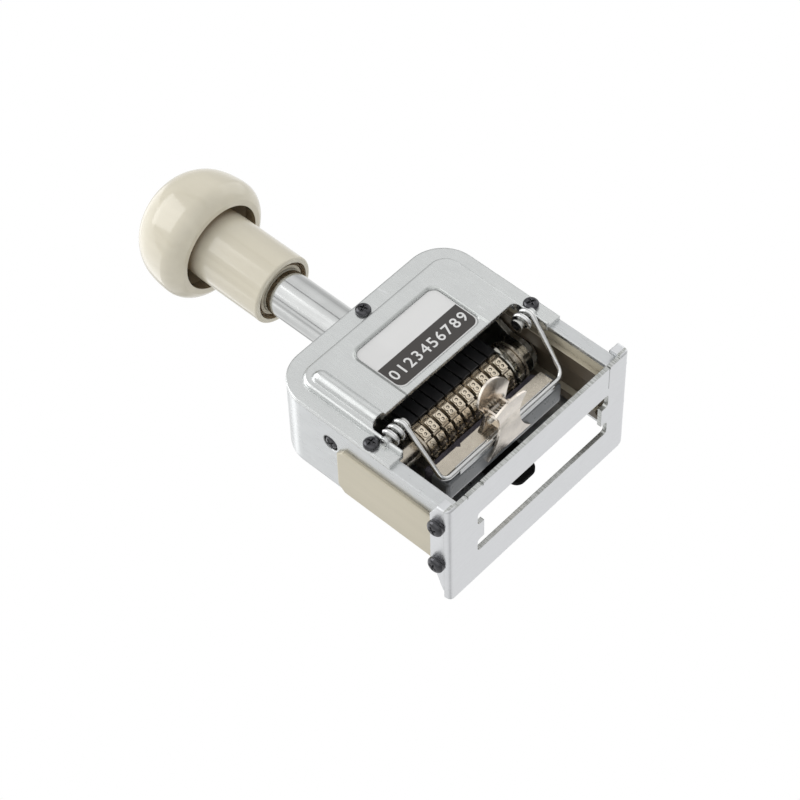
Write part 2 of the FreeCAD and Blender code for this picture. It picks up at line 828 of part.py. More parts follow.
def make_cover():
    sheet_part = prism(
        "cover_sheet_part", "y", cover_front, front,
        arched_loop(half_width, s.cover_foot, s.casing_height, s.casing_corner))
    raised = prism(
        "cover_panel", "y", panel_face, cover_front,
        arched_loop(s.panel_half_width, s.cover_foot, s.panel_top, s.panel_round))

    def on_face(edge):
        middle = edge.CenterOfMass
        return abs(middle.y - panel_face.value) < 1e-4 and middle.z > s.cover_foot.value + 1e-4

    round_edges(raised, "cover_panel_fillet", s.panel_edge_round, on_face)
    rib_y = panel_face + s.rib_sink
    rib = bar("cover_rib_bar", "z", s.rib_round, s.window_top, s.rib_top, -s.rib_setoff, rib_y)
    rib_end = doc.addObject("Part::Sphere", "cover_rib_end")
    bind(rib_end, "Radius", s.rib_round)
    place(rib_end, -s.rib_setoff, rib_y, s.rib_top)
    lug_z = (s.bail_pivot_z - s.lug_tall / 2, s.bail_pivot_z + s.lug_tall / 2)
    lug_front = -s.bail_pivot_reach - s.lug_tall / 2
    lugs = []
    for name, near in (("left", -s.window_half_width - s.lug_sheet), ("right", s.window_half_width)):
        lugs.append(box("lug_%s" % name, (near, near + s.lug_sheet), (-s.bail_pivot_reach, front), lug_z))
        lugs.append(bar(
            "lug_nose_%s" % name, "x", s.lug_tall / 2, near, near + s.lug_sheet, -s.bail_pivot_reach, s.bail_pivot_z))
    outside = fuse("cover_outside", sheet_part, raised, rib, rib_end, *lugs)
    inner_half = s.panel_half_width - s.cover_sheet
    pocket = prism(
        "cover_pocket", "y", panel_face + s.cover_sheet, front + s.overrun,
        arched_loop(inner_half, s.window_top - s.overrun, s.panel_top - s.cover_sheet, s.panel_round - s.cover_sheet))
    opening = prism(
        "cover_window", "y", panel_face - s.overrun, front + s.overrun,
        arched_loop(s.window_half_width, s.cover_foot - s.overrun, s.window_top, s.window_round))
    rib_bore = bar(
        "cover_rib_bore", "z", s.rib_round - s.rib_wall, s.window_top - s.overrun, s.rib_top, -s.rib_setoff, rib_y)
    recess = prism(
        "label_recess", "y", panel_face - s.overrun, panel_face + s.label_sink, label_loop(linked(0)))
    rivets = bar(
        "rivet_holes", "x", s.bail_rivet + s.push_gap, -half_width, half_width, -s.bail_pivot_reach, s.bail_pivot_z)
    keep("front_cover", cut("front_cover", outside, pocket, opening, rib_bore, recess, rivets, *cover_holes("cover")))
    floor = panel_face + s.label_sink
    keep("cover_label", prism("cover_label", "y", floor - s.label_film, floor, label_loop(s.free_gap)))


def label_loop(margin):
    half_wide = s.label_width / 2 - margin
    half_tall = s.label_tall / 2 - margin
    return rounded_box_loop(
        s.label_setoff - half_wide, s.label_setoff + half_wide,
        s.label_height_mid - half_tall, s.label_height_mid + half_tall, s.label_round - margin)


def make_stem():
    lower_bore = s.rod_radius + s.running_gap
    keep("stem_tube", turned("stem_tube", [
        (lower_bore, s.tube_foot), (s.tube_radius, s.tube_foot), (s.tube_radius, s.tube_top),
        (s.tube_bore, s.tube_top), (s.tube_bore, s.spring_seat), (lower_bore, s.spring_seat),
    ], 0, stem_y))
    under = s.casing_height - s.casing_sheet
    nut = hexagon("stem_nut_block", "z", s.stem_nut_corner, under - s.stem_nut_thick, under, linked(0), stem_y)
    hole = bar(
        "stem_nut_hole", "z", s.tube_radius + s.push_gap, under - s.stem_nut_thick - s.overrun, under + s.overrun,
        linked(0), stem_y)
    keep("stem_nut", cut("stem_nut", nut, hole))


def make_guides():
    outer = half_width - s.casing_sheet
    foot = s.base_sheet
    block = box("guide_block", (-outer, -s.guide_inner), (front + s.casing_sheet, s.guide_rear), (foot, s.guide_top))
    skin = half_width + s.guide_proud
    panel = prism("guide_panel", "x", -skin, -outer, guide_panel_loop(s.base_bend_left))
    round_edges(panel, "guide_panel_fillet", s.panel_edge_round / 2, lambda edge: abs(edge.CenterOfMass.x + skin.value) < 1e-4)
    groove = box(
        "guide_groove", (-s.guide_groove, -s.guide_inner + s.overrun),
        (stem_y - s.groove_half, stem_y + s.groove_half), (foot - s.overrun, s.guide_top + s.overrun))
    step = box(
        "guide_step", (-s.guide_inner - s.casing_sheet, -s.guide_inner + s.overrun),
        (front, -s.panel_front - s.casing_sheet), (foot - s.overrun, s.guide_top + s.overrun))
    holes = [
        bar("guide_hole_%d" % number, "x", s.base_shank + s.push_gap, -skin - s.overrun, -s.guide_inner + s.overrun,
            y, s.base_screw_z)
        for number, y in enumerate((-s.base_screw_front, s.base_screw_rear), start=1)
    ]
    side_hole = bar(
        "guide_side_hole", "x", s.pan_shank + s.push_gap, -skin, -s.guide_inner + s.overrun,
        front + s.side_screw_set, s.side_screw_z)
    left = keep("left_guide", cut("left_guide", fuse("guide_blank", block, panel), groove, step, side_hole, *holes))
    keep("right_guide", mirrored("right_guide", left))


def make_base():
    half = s.base_width / 2
    deep = s.base_depth / 2
    thick = s.base_sheet
    wide = s.base_bend_left
    tight = s.base_bend_right
    wing = s.base_flange
    channel = prism("base_channel", "y", -deep, deep, [
        (half - tight, 0), (half, tight, tight), (half, wing), (half - thick, wing), (half - thick, tight),
        (half - tight, thick, thick - tight), (-half + wide, thick), (-half + thick, wide, thick - wide),
        (-half + thick, wing), (-half, wing), (-half, wide), (-half + wide, 0, wide),
    ])
    plan = prism("base_plan", "z", -s.overrun, wing + s.overrun, [
        (half - s.base_front_round, -deep), (half, -deep + s.base_front_round, s.base_front_round),
        (half, deep - s.base_rear_round), (half - s.base_rear_round, deep, s.base_rear_round),
        (-half + s.base_rear_round, deep), (-half, deep - s.base_rear_round, s.base_rear_round),
        (-half, -deep + s.base_front_round), (-half + s.base_front_round, -deep, s.base_front_round),
    ])
    across = (-half - s.overrun, half + s.overrun)
    rear_trim = prism("flange_rear_trim", "x", *across, [
        (s.flange_foot_rear, thick), (deep + s.overrun, thick), (deep + s.overrun, wing + s.overrun),
        (s.flange_top_rear, wing + s.overrun), (s.flange_top_rear, wing),
    ])
    front_trim = prism("flange_front_trim", "x", *across, [
        (-deep - s.overrun, s.lip_top), (-deep, s.lip_top), (-deep + s.flange_slope_front, wing),
        (-deep + s.flange_slope_front, wing + s.overrun), (-deep - s.overrun, wing + s.overrun),
    ])
    lip_face = -deep - s.lip_out

    def on_lip(edge):
        middle = edge.CenterOfMass
        outer = abs(middle.x) > (half - tight).value + 1e-4
        return abs(middle.y - lip_face.value) < 1e-4 and outer and middle.z < s.lip_top.value - 1e-4

    lips = []
    for side, name, bend in ((-1, "left", wide), (1, "right", tight)):
        lip = prism("base_lip_%s" % name, "y", lip_face, lip_face + thick, [
            (side * (half - s.lip_length), 0), (side * (half - bend), 0), (side * half, bend, side * bend),
            (side * half, s.lip_top), (side * (half - s.lip_length), s.lip_top),
        ])
        round_edges(lip, "base_lip_%s_fillet" % name, s.lip_round, on_lip)
        lips.append(lip)
    notch_x = s.guide_inner - s.free_gap
    notches = [
        box("base_notch_%s" % name, (x - s.notch_wide / 2, x + s.notch_wide / 2), (-deep - s.overrun, -deep + s.notch_deep),
            (-s.overrun, thick + s.overrun))
        for name, x in (("left", -notch_x), ("inner", -notch_x + s.notch_step), ("right", notch_x))
    ]
    left = s.stamp_setoff - s.stamp_half
    right = s.stamp_setoff + s.stamp_half
    low = -s.stamp_front
    high = s.stamp_rear
    lobe = s.stamp_lobe
    wide = s.stamp_lobe_wide
    bend = s.stamp_round
    window = prism("stamp_window", "z", -s.overrun, thick + s.overrun, [
        (right + lobe - bend, low), (right + lobe, low + bend, bend), (right + lobe, low + wide - bend),
        (right + lobe - bend, low + wide, bend), (right, low + wide), (right, high - wide),
        (right + lobe - bend, high - wide), (right + lobe, high - wide + bend, bend), (right + lobe, high - bend),
        (right + lobe - bend, high, bend), (left - lobe + bend, high), (left - lobe, high - bend, bend),
        (left - lobe, high - wide + bend), (left - lobe + bend, high - wide, bend), (left, high - wide),
        (left, low + wide), (left - lobe + bend, low + wide), (left - lobe, low + wide - bend, bend),
        (left - lobe, low + bend), (left - lobe + bend, low, bend),
    ])
    holes = [
        bar("flange_hole_%d" % number, "x", s.base_shank + s.push_gap, *across, y, s.base_screw_z)
        for number, y in enumerate((-s.base_screw_front, s.base_screw_rear), start=1)
    ]
    blank = fuse("base_blank", common("base_channel_plan", channel, plan), *lips)
    keep("base_plate", cut("base_plate", blank, rear_trim, front_trim, window, *notches, *holes))


def make_bail_pins():
    clear = s.bail_wire + s.side_gap
    pins = []
    right_end = s.bail_right - s.bail_coil_pitch * RIGHT_BAIL_TURNS
    for side, name, coil_end in ((-1, "left", s.bail_left), (1, "right", right_end)):
        lug = side * s.window_half_width
        head = side * (coil_end - clear)
        tip = head - side * s.bail_pin_head_thick
        rivet_end = lug + side * (s.lug_sheet + s.side_gap)
        parts = [
            (s.bail_pin_radius, head, lug), (s.bail_pin_head, tip, head), (s.bail_rivet, lug, rivet_end),
        ]
        bars = []
        for number, (radius, one, other) in enumerate(parts, start=1):
            low, high = (one, other) if one.value < other.value else (other, one)
            bars.append(bar(
                "bail_pin_%s_%d" % (name, number), "x", radius, low, high, -s.bail_pivot_reach, s.bail_pivot_z))
        pins.append(fuse("bail_pin_%s" % name, *bars))
    keep("bail_pins", group("bail_pins", *pins))


def make_aiming_tab():
    inner = rear - s.casing_sheet
    left = s.tab_setoff
    half = s.tab_half
    tip = s.tab_tip_half
    bend = s.tab_tip_round
    keep("aiming_tab", prism("aiming_tab", "y", inner - s.tab_thick, inner, [
        (left + tip - bend, s.tab_foot), (left + tip, s.tab_foot + bend, bend), (left + half, s.tab_shoulder),
        (left + half, s.tab_top), (left - half, s.tab_top), (left - half, s.tab_shoulder),
        (left - tip, s.tab_foot + bend), (left - tip + bend, s.tab_foot, bend),
    ]))


def make_handle():
    near_sine, near_cosine = math.sin(math.radians(15)), math.cos(math.radians(15))
    far_sine, far_cosine = math.sin(math.radians(77.5)), math.cos(math.radians(77.5))
    crown_radius = s.knob_crown * near_sine
    crown_z = s.knob_top - s.knob_crown * (1 - near_cosine)
    side_radius = s.knob_radius - s.knob_side * (1 - far_sine)
    shoulder = (side_radius - crown_radius) / (far_sine - near_sine)
    side_z = crown_z - shoulder * (near_cosine - far_cosine)
    widest = side_z - s.knob_side * far_cosine
    rim_z = widest - s.knob_rim_drop
    tuck = s.knob_radius - s.knob_rim_radius
    tuck_arc = (tuck * tuck + s.knob_rim_drop * s.knob_rim_drop) / (2 * tuck)
    keep("knob", turned("knob", [
        (0, s.rod_top), (0, s.knob_top), (crown_radius, crown_z, -s.knob_crown), (side_radius, side_z, -shoulder),
        (s.knob_radius, widest, -s.knob_side), (s.knob_rim_radius, rim_z, -tuck_arc),
        (s.knob_rim_radius - s.knob_rim_wall, rim_z), (s.knob_cavity_radius, widest),
        (s.knob_ceiling_radius, s.knob_ceiling), (s.boss_radius, s.knob_ceiling), (s.boss_radius, s.boss_foot),
        (s.rod_radius + s.push_gap, s.boss_foot), (s.rod_radius + s.push_gap, s.rod_top),
    ], 0, stem_y))
    edge = s.sleeve_edge_round
    keep("handle_sleeve", turned("handle_sleeve", [
        (s.sleeve_bore, s.sleeve_foot), (s.sleeve_radius - edge, s.sleeve_foot),
        (s.sleeve_radius, s.sleeve_foot + edge, edge), (s.sleeve_radius, s.knob_ceiling),
        (s.sleeve_bore, s.knob_ceiling),
    ], 0, stem_y))
    bore = s.tube_radius + s.running_gap
    nose = bore + s.bush_nose_wall
    keep("sleeve_bush", turned("sleeve_bush", [
        (bore, s.bush_foot - s.bush_nose), (nose, s.bush_foot - s.bush_nose), (nose, s.bush_foot),
        (s.sleeve_bore, s.bush_foot), (s.sleeve_bore, s.bush_foot + s.bush_length),
        (bore, s.bush_foot + s.bush_length),
    ], 0, stem_y))
    keep("plunger_rod", bar("plunger_rod", "z", s.rod_radius, s.rod_foot, s.rod_top, linked(0), stem_y))
    under = s.carriage_top - s.bridge_thick
    nut = hexagon("rod_nut_block", "z", s.rod_nut_corner, under - s.rod_nut_thick, under, linked(0), stem_y)
    hole = bar(
        "rod_nut_hole", "z", s.rod_radius + s.push_gap, under - s.rod_nut_thick - s.overrun, under + s.overrun,
        linked(0), stem_y)
    keep("rod_nut", cut("rod_nut", nut, hole))


def make_return_spring():
    low = s.spring_seat + s.spring_wire
    high = s.boss_foot - s.spring_wire
    radius = s.spring_radius.value
    pitch = (high - low).value / SPRING_TURNS
    slope = math.hypot(radius, pitch / math.tau)
    stations = []
    for half_turn in range(2 * SPRING_TURNS + 1):
        angle = math.pi * half_turn
        point = FreeCAD.Vector(
            radius * math.cos(angle), stem_y.value + radius * math.sin(angle), low.value + pitch * half_turn / 2)
        leave = FreeCAD.Vector(
            -radius * math.sin(angle) / slope, radius * math.cos(angle) / slope, pitch / math.tau / slope)
        stations.append((point, leave))
    path = path_through(stations)
    print("return spring gap %.2f mm" % least_gap(path, s.spring_wire.value, math.pi * radius))
    keep("return_spring", solid_feature("return_spring", tube_on(path, *stations[0], s.spring_wire.value)))


def make_carriage():
    outer = s.carriage_outer
    inner = outer - s.carriage_plate
    top = s.carriage_top
    nose = s.nose_radius
    near = -s.carriage_front
    far = s.carriage_rear
    shoulder = s.axle_z + s.nose_shoulder
    flare = s.axle_z + s.nose_flare
    loop = [
        (near, top), (near, flare), (axle_y - nose, shoulder), (axle_y - nose, s.axle_z),
        (axle_y, s.axle_z - nose, nose), (axle_y + nose, s.axle_z, nose), (axle_y + nose, shoulder), (far, flare),
        (far, top),
    ]
    plates = [prism("carriage_left", "x", -outer, -inner, loop), prism("carriage_right", "x", inner, outer, loop)]
    bridge = box("carriage_bridge", (-outer, outer), (near, far), (top - s.bridge_thick, top))
    slide_half = s.groove_half - s.free_gap
    runners = [
        box("runner_%s" % name, (low, high), (stem_y - slide_half, stem_y + slide_half), (s.runner_foot, s.runner_top))
        for name, low, high in (("left", -s.runner_outer, -outer), ("right", outer, s.runner_outer))
    ]
    rod_hole = bar("carriage_rod_hole", "z", s.rod_radius + s.push_gap, s.runner_top, top + s.overrun, linked(0), stem_y)
    axle_hole = bar(
        "carriage_axle_hole", "x", s.axle_radius + s.push_gap, -outer - s.overrun, outer + s.overrun, axle_y, s.axle_z)
    detent_hole = bar(
        "carriage_detent_hole", "x", s.detent_rod_radius + s.push_gap, -outer - s.overrun, outer + s.overrun,
        detent_y(), s.detent_rod_z)
    blank = fuse("carriage_blank", *plates, bridge, *runners)
    keep("wheel_carriage", cut("wheel_carriage", blank, rod_hole, axle_hole, detent_hole))
    keep("wheel_axle", bar("wheel_axle", "x", s.axle_radius, -s.axle_half, s.axle_half, axle_y, s.axle_z))
    nuts = []
    for name, low in (("left", -outer - s.axle_nut_thick), ("right", outer)):
        nut = hexagon(
            "axle_nut_%s_block" % name, "x", s.axle_nut_corner, low, low + s.axle_nut_thick, axle_y, s.axle_z)
        hole = bar(
            "axle_nut_%s_hole" % name, "x", s.axle_radius + s.push_gap, low - s.overrun,
            low + s.axle_nut_thick + s.overrun, axle_y, s.axle_z)
        nuts.append(cut("axle_nut_%s" % name, nut, hole))
    keep("axle_nuts", group("axle_nuts", *nuts))


# Middle of the figure band of a wheel
def wheel_x(number):
    return s.works_setoff + (number - (WHEELS - 1) / 2) * s.wheel_pitch


def make_spacers():
    inner = s.carriage_outer - s.carriage_plate
    stack_left = wheel_x(0) - s.figure_width / 2 - s.side_gap
    parts = []
    for name, low, high, disc_low in (
            ("left", -inner, stack_left, stack_left - s.end_disc_thick),
            ("right", s.works_right, inner, s.works_right)):
        tube = bar("spacer_%s" % name, "x", s.spacer_radius, low, high, axle_y, s.axle_z)
        disc = bar(
            "spacer_disc_%s" % name, "x", s.end_disc_radius, disc_low, disc_low + s.end_disc_thick, axle_y, s.axle_z)
        hole = bar(
            "spacer_hole_%s" % name, "x", s.axle_radius + s.push_gap, low - s.overrun, high + s.overrun,
            axle_y, s.axle_z)
        parts.append(cut("spacer_body_%s" % name, fuse("spacer_blank_%s" % name, tube, disc), hole))
    keep("wheel_spacers", group("wheel_spacers", *parts))


# One figure wheel about the X axis: a drilled core, ten raised figure blocks and a ratchet with
# ten teeth
def make_wheel_master():
    half = s.figure_width / 2
    bore = s.axle_radius + s.running_gap
    body = prism("wheel_master", "x", -half, half, ("circle", 0, 0, s.wheel_core), ("circle", 0, 0, bore))
    add_pad(body, "wheel_ratchet_core", "x", half, half + s.ratchet_width,
            ("circle", 0, 0, s.ratchet_root), ("circle", 0, 0, bore))
    step = 360 / FIGURES
    figure = add_pad(body, "wheel_figure", "x", -half, half, lobe_loop(s.wheel_core, s.figure_radius, step * 0.4))
    repeat_round(body, "wheel_figures", [figure], FIGURES)
    tooth = add_pad(body, "wheel_tooth", "x", half, half + s.ratchet_width,
                    tooth_loop(s.ratchet_root, s.ratchet_tip, step))
    repeat_round(body, "wheel_teeth", [tooth], FIGURES)
    return body


# A block on a round core, its roots sunk into the core, reaching half_angle degrees each way
def lobe_loop(core, tip, half_angle):
    root = core * 0.97
    sine, cosine = math.sin(math.radians(half_angle)), math.cos(math.radians(half_angle))
    return [(root * cosine, root * sine), (root * cosine, -root * sine), (tip * cosine, -tip * sine),
            (tip * cosine, tip * sine, tip)]


def tooth_loop(root, tip, step):
    base = root * 0.96
    steep, shallow = math.radians(4), math.radians(step)
    return [(base * math.cos(shallow), base * math.sin(shallow)), (base, 0), (tip * math.cos(steep), tip * math.sin(steep))]


def make_wheels():
    master = make_wheel_master()
    for number in range(WHEELS):
        label = "number_wheel_%02d" % (number + 1)
        keep(label, place(group(label, master), wheel_x(number), axle_y, s.axle_z, turn=((1, 0, 0), 180 / FIGURES)))


def make_feed():
    bore = s.axle_radius + s.running_gap
    disc = s.drive_disc_thick
    body = prism("drive_master", "x", linked(0), disc, ("circle", 0, 0, s.drive_disc_radius), ("circle", 0, 0, bore))
    add_pad(body, "drive_core", "x", disc, disc + s.drive_width, ("circle", 0, 0, s.drive_root), ("circle", 0, 0, bore))
    tooth = add_pad(body, "drive_tooth", "x", disc, disc + s.drive_width,
                    tooth_loop(s.drive_root, s.drive_tip, 360 / FIGURES))
    repeat_round(body, "drive_teeth", [tooth], FIGURES)
    keep("drive_ratchet", place(group("drive_ratchet", body), s.drive_left, axle_y, s.axle_z))

    left = s.feed_arm_left
    right = left + s.arm_thick
    tail_y = axle_y + s.arm_tail_back
    tail_z = s.axle_z + s.arm_tail_up
    hub = bar("arm_hub_bar", "x", s.arm_hub, left, right, axle_y, s.axle_z)
    tail = bar("arm_tail_bar", "x", s.arm_tail_radius, left, right, tail_y, tail_z)
    web = prism("arm_web", "x", left, right, [
        (axle_y + s.arm_hub, s.axle_z), (tail_y + s.arm_tail_radius, tail_z), (tail_y - s.arm_tail_radius, tail_z),
        (axle_y - s.arm_hub * 0.5, s.axle_z + s.arm_hub * 0.8), (axle_y, s.axle_z),
    ])
    bore_bar = bar("arm_bore", "x", bore, left - s.overrun, right + s.overrun, axle_y, s.axle_z)
    pin_hole = bar(
        "arm_pin_hole", "x", s.pawl_pin_radius + s.push_gap, left - s.overrun, right + s.overrun, tail_y, tail_z)
    keep("feed_arm", cut("feed_arm", fuse("arm_blank", hub, tail, web), bore_bar, pin_hole))
    pawl_low = left - s.side_gap - s.pawl_width
    pawl_high = left - s.side_gap
    pin = bar("pawl_pin", "x", s.pawl_pin_radius, pawl_low, right + s.arm_thick / 2, tail_y, tail_z)
    reach = s.drive_tip + s.free_gap
    tip_y = axle_y - reach * math.sin(math.radians(8))
    tip_z = s.axle_z + reach * math.cos(math.radians(8))
    blade = prism("pawl_blade", "x", pawl_low, pawl_high, [
        (tail_y + s.pawl_pin_radius, tail_z), (tail_y, tail_z + s.arm_tail_radius * 0.8),
        (tip_y - s.pawl_pin_radius, tip_z + s.pawl_pin_radius), (tip_y, tip_z),
    ])
    keep("feed_pawl", fuse("feed_pawl", pin, blade))


def finger_face():
    return axle_y - s.figure_radius - s.free_gap


def detent_y():
    return finger_face() + s.finger_thick / 2


def make_detents():
    back = finger_face()
    face = back - s.finger_thick
    half = s.finger_width / 2
    bar_master = prism("finger_bar", "x", -half, half, [
        (back, s.finger_foot + s.finger_thick / 2), (back, s.finger_top), (face, s.finger_top),
        (face, s.finger_foot), (back - s.finger_thick / 2, s.finger_foot),
    ])
    hub = bar("finger_hub", "x", s.detent_hub, -half, half, detent_y(), s.detent_rod_z)
    hole = bar(
        "finger_hole", "x", s.detent_rod_radius + s.push_gap, -half - s.overrun, half + s.overrun,
        detent_y(), s.detent_rod_z)
    finger = cut("finger_master", fuse("finger_blank", bar_master, hub), hole)
    leaf = box("leaf_master", (-s.leaf_width / 2, s.leaf_width / 2), (back, back + s.leaf_thick), (s.leaf_foot, s.leaf_top))
    fingers = []
    leaves = []
    for number in range(WHEELS):
        fingers.append(place(group("finger_%02d" % (number + 1), finger), wheel_x(number), 0, 0))
        leaves.append(place(group("leaf_%02d" % (number + 1), leaf), wheel_x(number), 0, 0))
    keep("detent_fingers", group("detent_fingers", *fingers))
    spine = box(
        "leaf_spine", (wheel_x(0) - s.leaf_width / 2, wheel_x(WHEELS - 1) + s.leaf_width / 2),
        (back, back + s.leaf_thick), (s.leaf_top - s.finger_width, s.leaf_top))
    keep("detent_leaf", fuse("detent_leaf", spine, *leaves))
    inner = s.carriage_outer
    keep("detent_rod", bar("detent_rod", "x", s.detent_rod_radius, -inner, inner, detent_y(), s.detent_rod_z))


# Wire path of the bail: a coil round each pin, an arm from its front down to the hem, and the hem
def make_bail():
    pivot_y = -s.bail_pivot_reach.value
    pivot_z = s.bail_pivot_z.value
    wire = s.bail_wire.value
    coil = s.bail_pin_radius.value + s.running_gap.value + wire
    hem_y = -s.hem_reach.value
    hem_z = s.hem_z.value
    span = math.hypot(hem_y - pivot_y, hem_z - pivot_z)
    heading = math.atan2(hem_z - pivot_z, hem_y - pivot_y)
    # the arm touches the coil on its lower front side
    touch = heading - math.acos(coil / span)
    pitch = s.bail_coil_pitch.value
    bend = s.bail_bend.value
    centre_x = s.works_setoff.value
    slope = math.hypot(coil, pitch / math.tau)

    # stations of one side, from the free end of its coil to the hem; the coil lies left of its arm
    def side(sign, turns, arm_x, corner_x):
        quarters = int(turns * 4)
        stations = []
        along = FreeCAD.Vector(
            corner_x - arm_x, hem_y - (pivot_y + coil * math.cos(touch)), hem_z - (pivot_z + coil * math.sin(touch)))
        run = along.Length
        along.normalize()
        for quarter in range(quarters + 1):
            back = quarters - quarter
            angle = touch - math.pi / 2 * back
            point = FreeCAD.Vector(
                arm_x - pitch * back / 4, pivot_y + coil * math.cos(angle), pivot_z + coil * math.sin(angle))
            spin = FreeCAD.Vector(
                pitch / math.tau / slope, -coil * math.sin(angle) / slope, coil * math.cos(angle) / slope)
            if back == 0:
                spin = FreeCAD.Vector(along)
            stations.append((point, spin))
        touch_point = stations[-1][0]
        bend_start = touch_point + along * (run - bend)
        corner = touch_point + along * run
        inward = FreeCAD.Vector(-sign, 0, 0)
        stations.append((bend_start, FreeCAD.Vector(along)))
        stations.append((corner + inward * bend, inward))
        return stations

    left_x = -s.bail_left.value
    left = side(-1, LEFT_BAIL_TURNS, left_x, left_x)
    corner_x = centre_x + (s.bail_arm_half + s.bail_corner_out).value
    right = side(1, RIGHT_BAIL_TURNS, s.bail_right.value, corner_x)
    right = [(point, -leave) for point, leave in reversed(right)]
    path = path_through(left + right)
    print("bail gap %.2f mm" % least_gap(path, wire, math.pi * coil))
    keep("pad_bail", solid_feature("pad_bail", tube_on(path, *left[0], wire)))


def make_hem():
    half = s.bail_wire + s.push_gap + s.hem_sheet
    left = s.works_setoff - s.hem_half + s.hem_left_in
    right = s.works_setoff + s.hem_half
    block = box(
        "hem_block", (left, right), (-s.hem_reach - s.hem_grip, tray_front()), (s.hem_z - half, s.hem_z + half))
    bore = bar(
        "hem_bore", "x", s.bail_wire + s.push_gap, left - s.overrun, right + s.overrun, -s.hem_reach, s.hem_z)
    keep("hem_channel", cut("hem_channel", block, bore))


def tray_front():
    return -s.hem_reach + s.hem_setoff


def make_tray():
    near = tray_front()
    far = s.tray_rear
    foot = s.tray_foot
    wall = s.tray_wall
    bend = s.tray_rear_round
    edge = s.tray_front_round
    left = s.works_setoff - s.tray_half
    right = s.works_setoff + s.tray_half
    outside = prism("tray_outside", "x", left, right, [
        (near, foot + edge), (near + edge, foot, edge), (far - bend, foot), (far, foot + bend, bend),
        (far, s.tray_rim), (near, s.tray_rim),
    ])
    inside_loop = [
        (near + wall, foot + wall), (far - bend, foot + wall), (far - wall, foot + bend, bend - wall),
    ]

    def on_end(edge):
        middle = edge.CenterOfMass
        ends = min(abs(middle.x - left.value), abs(middle.x - right.value))
        return ends < 1e-4 and middle.z < s.tray_rim.value - 1e-4

    round_edges(outside, "tray_end_fillet", s.tray_end_round, on_end)
    cavity = prism("tray_cavity", "x", left + wall, right - wall, [
        *inside_loop, (far - wall, s.tray_rim + s.overrun), (near + wall, s.tray_rim + s.overrun),
    ])
    keep("pad_tray", cut("pad_tray", outside, cavity))
    block = prism("pad_block", "x", left + wall, right - wall, [
        *inside_loop, (far - wall, s.pad_height), (near + wall, s.pad_height),
    ])
    strip = box(
        "pad_strip", (left + wall * 2, right - wall * 2), (-s.pad_strip_front, s.pad_strip_rear),
        (s.pad_height - wall, s.pad_strip_top))
    keep("ink_pad", fuse("ink_pad", block, strip))
    plate_foot = s.hem_z + s.hem_setoff
    notch = s.works_setoff - s.clamp_notch_at
    keep("clamp_plate", prism("clamp_plate", "y", near - s.clamp_thick, near, [
        (s.works_setoff + s.clamp_half, plate_foot), (s.works_setoff + s.clamp_half, s.clamp_top),
        (notch + s.clamp_notch, s.clamp_top), (notch, s.clamp_top - s.clamp_notch),
        (notch - s.clamp_notch, s.clamp_top), (s.works_setoff - s.clamp_half, s.clamp_top),
        (s.works_setoff - s.clamp_half, plate_foot),
    ]))


# Outline in (x, y) of a leaf of the clip: a straight jaw, sides that curve in to a waist and a round
# finger tab
def clip_leaf_loop(centre, jaw_y, jaw, shoulder_y, tab, side_arc, tab_arc):
    return [
        (centre + jaw, jaw_y, -side_arc), (centre - jaw, jaw_y), (centre - tab, shoulder_y, -side_arc),
        (centre + tab, shoulder_y, tab_arc),
    ]


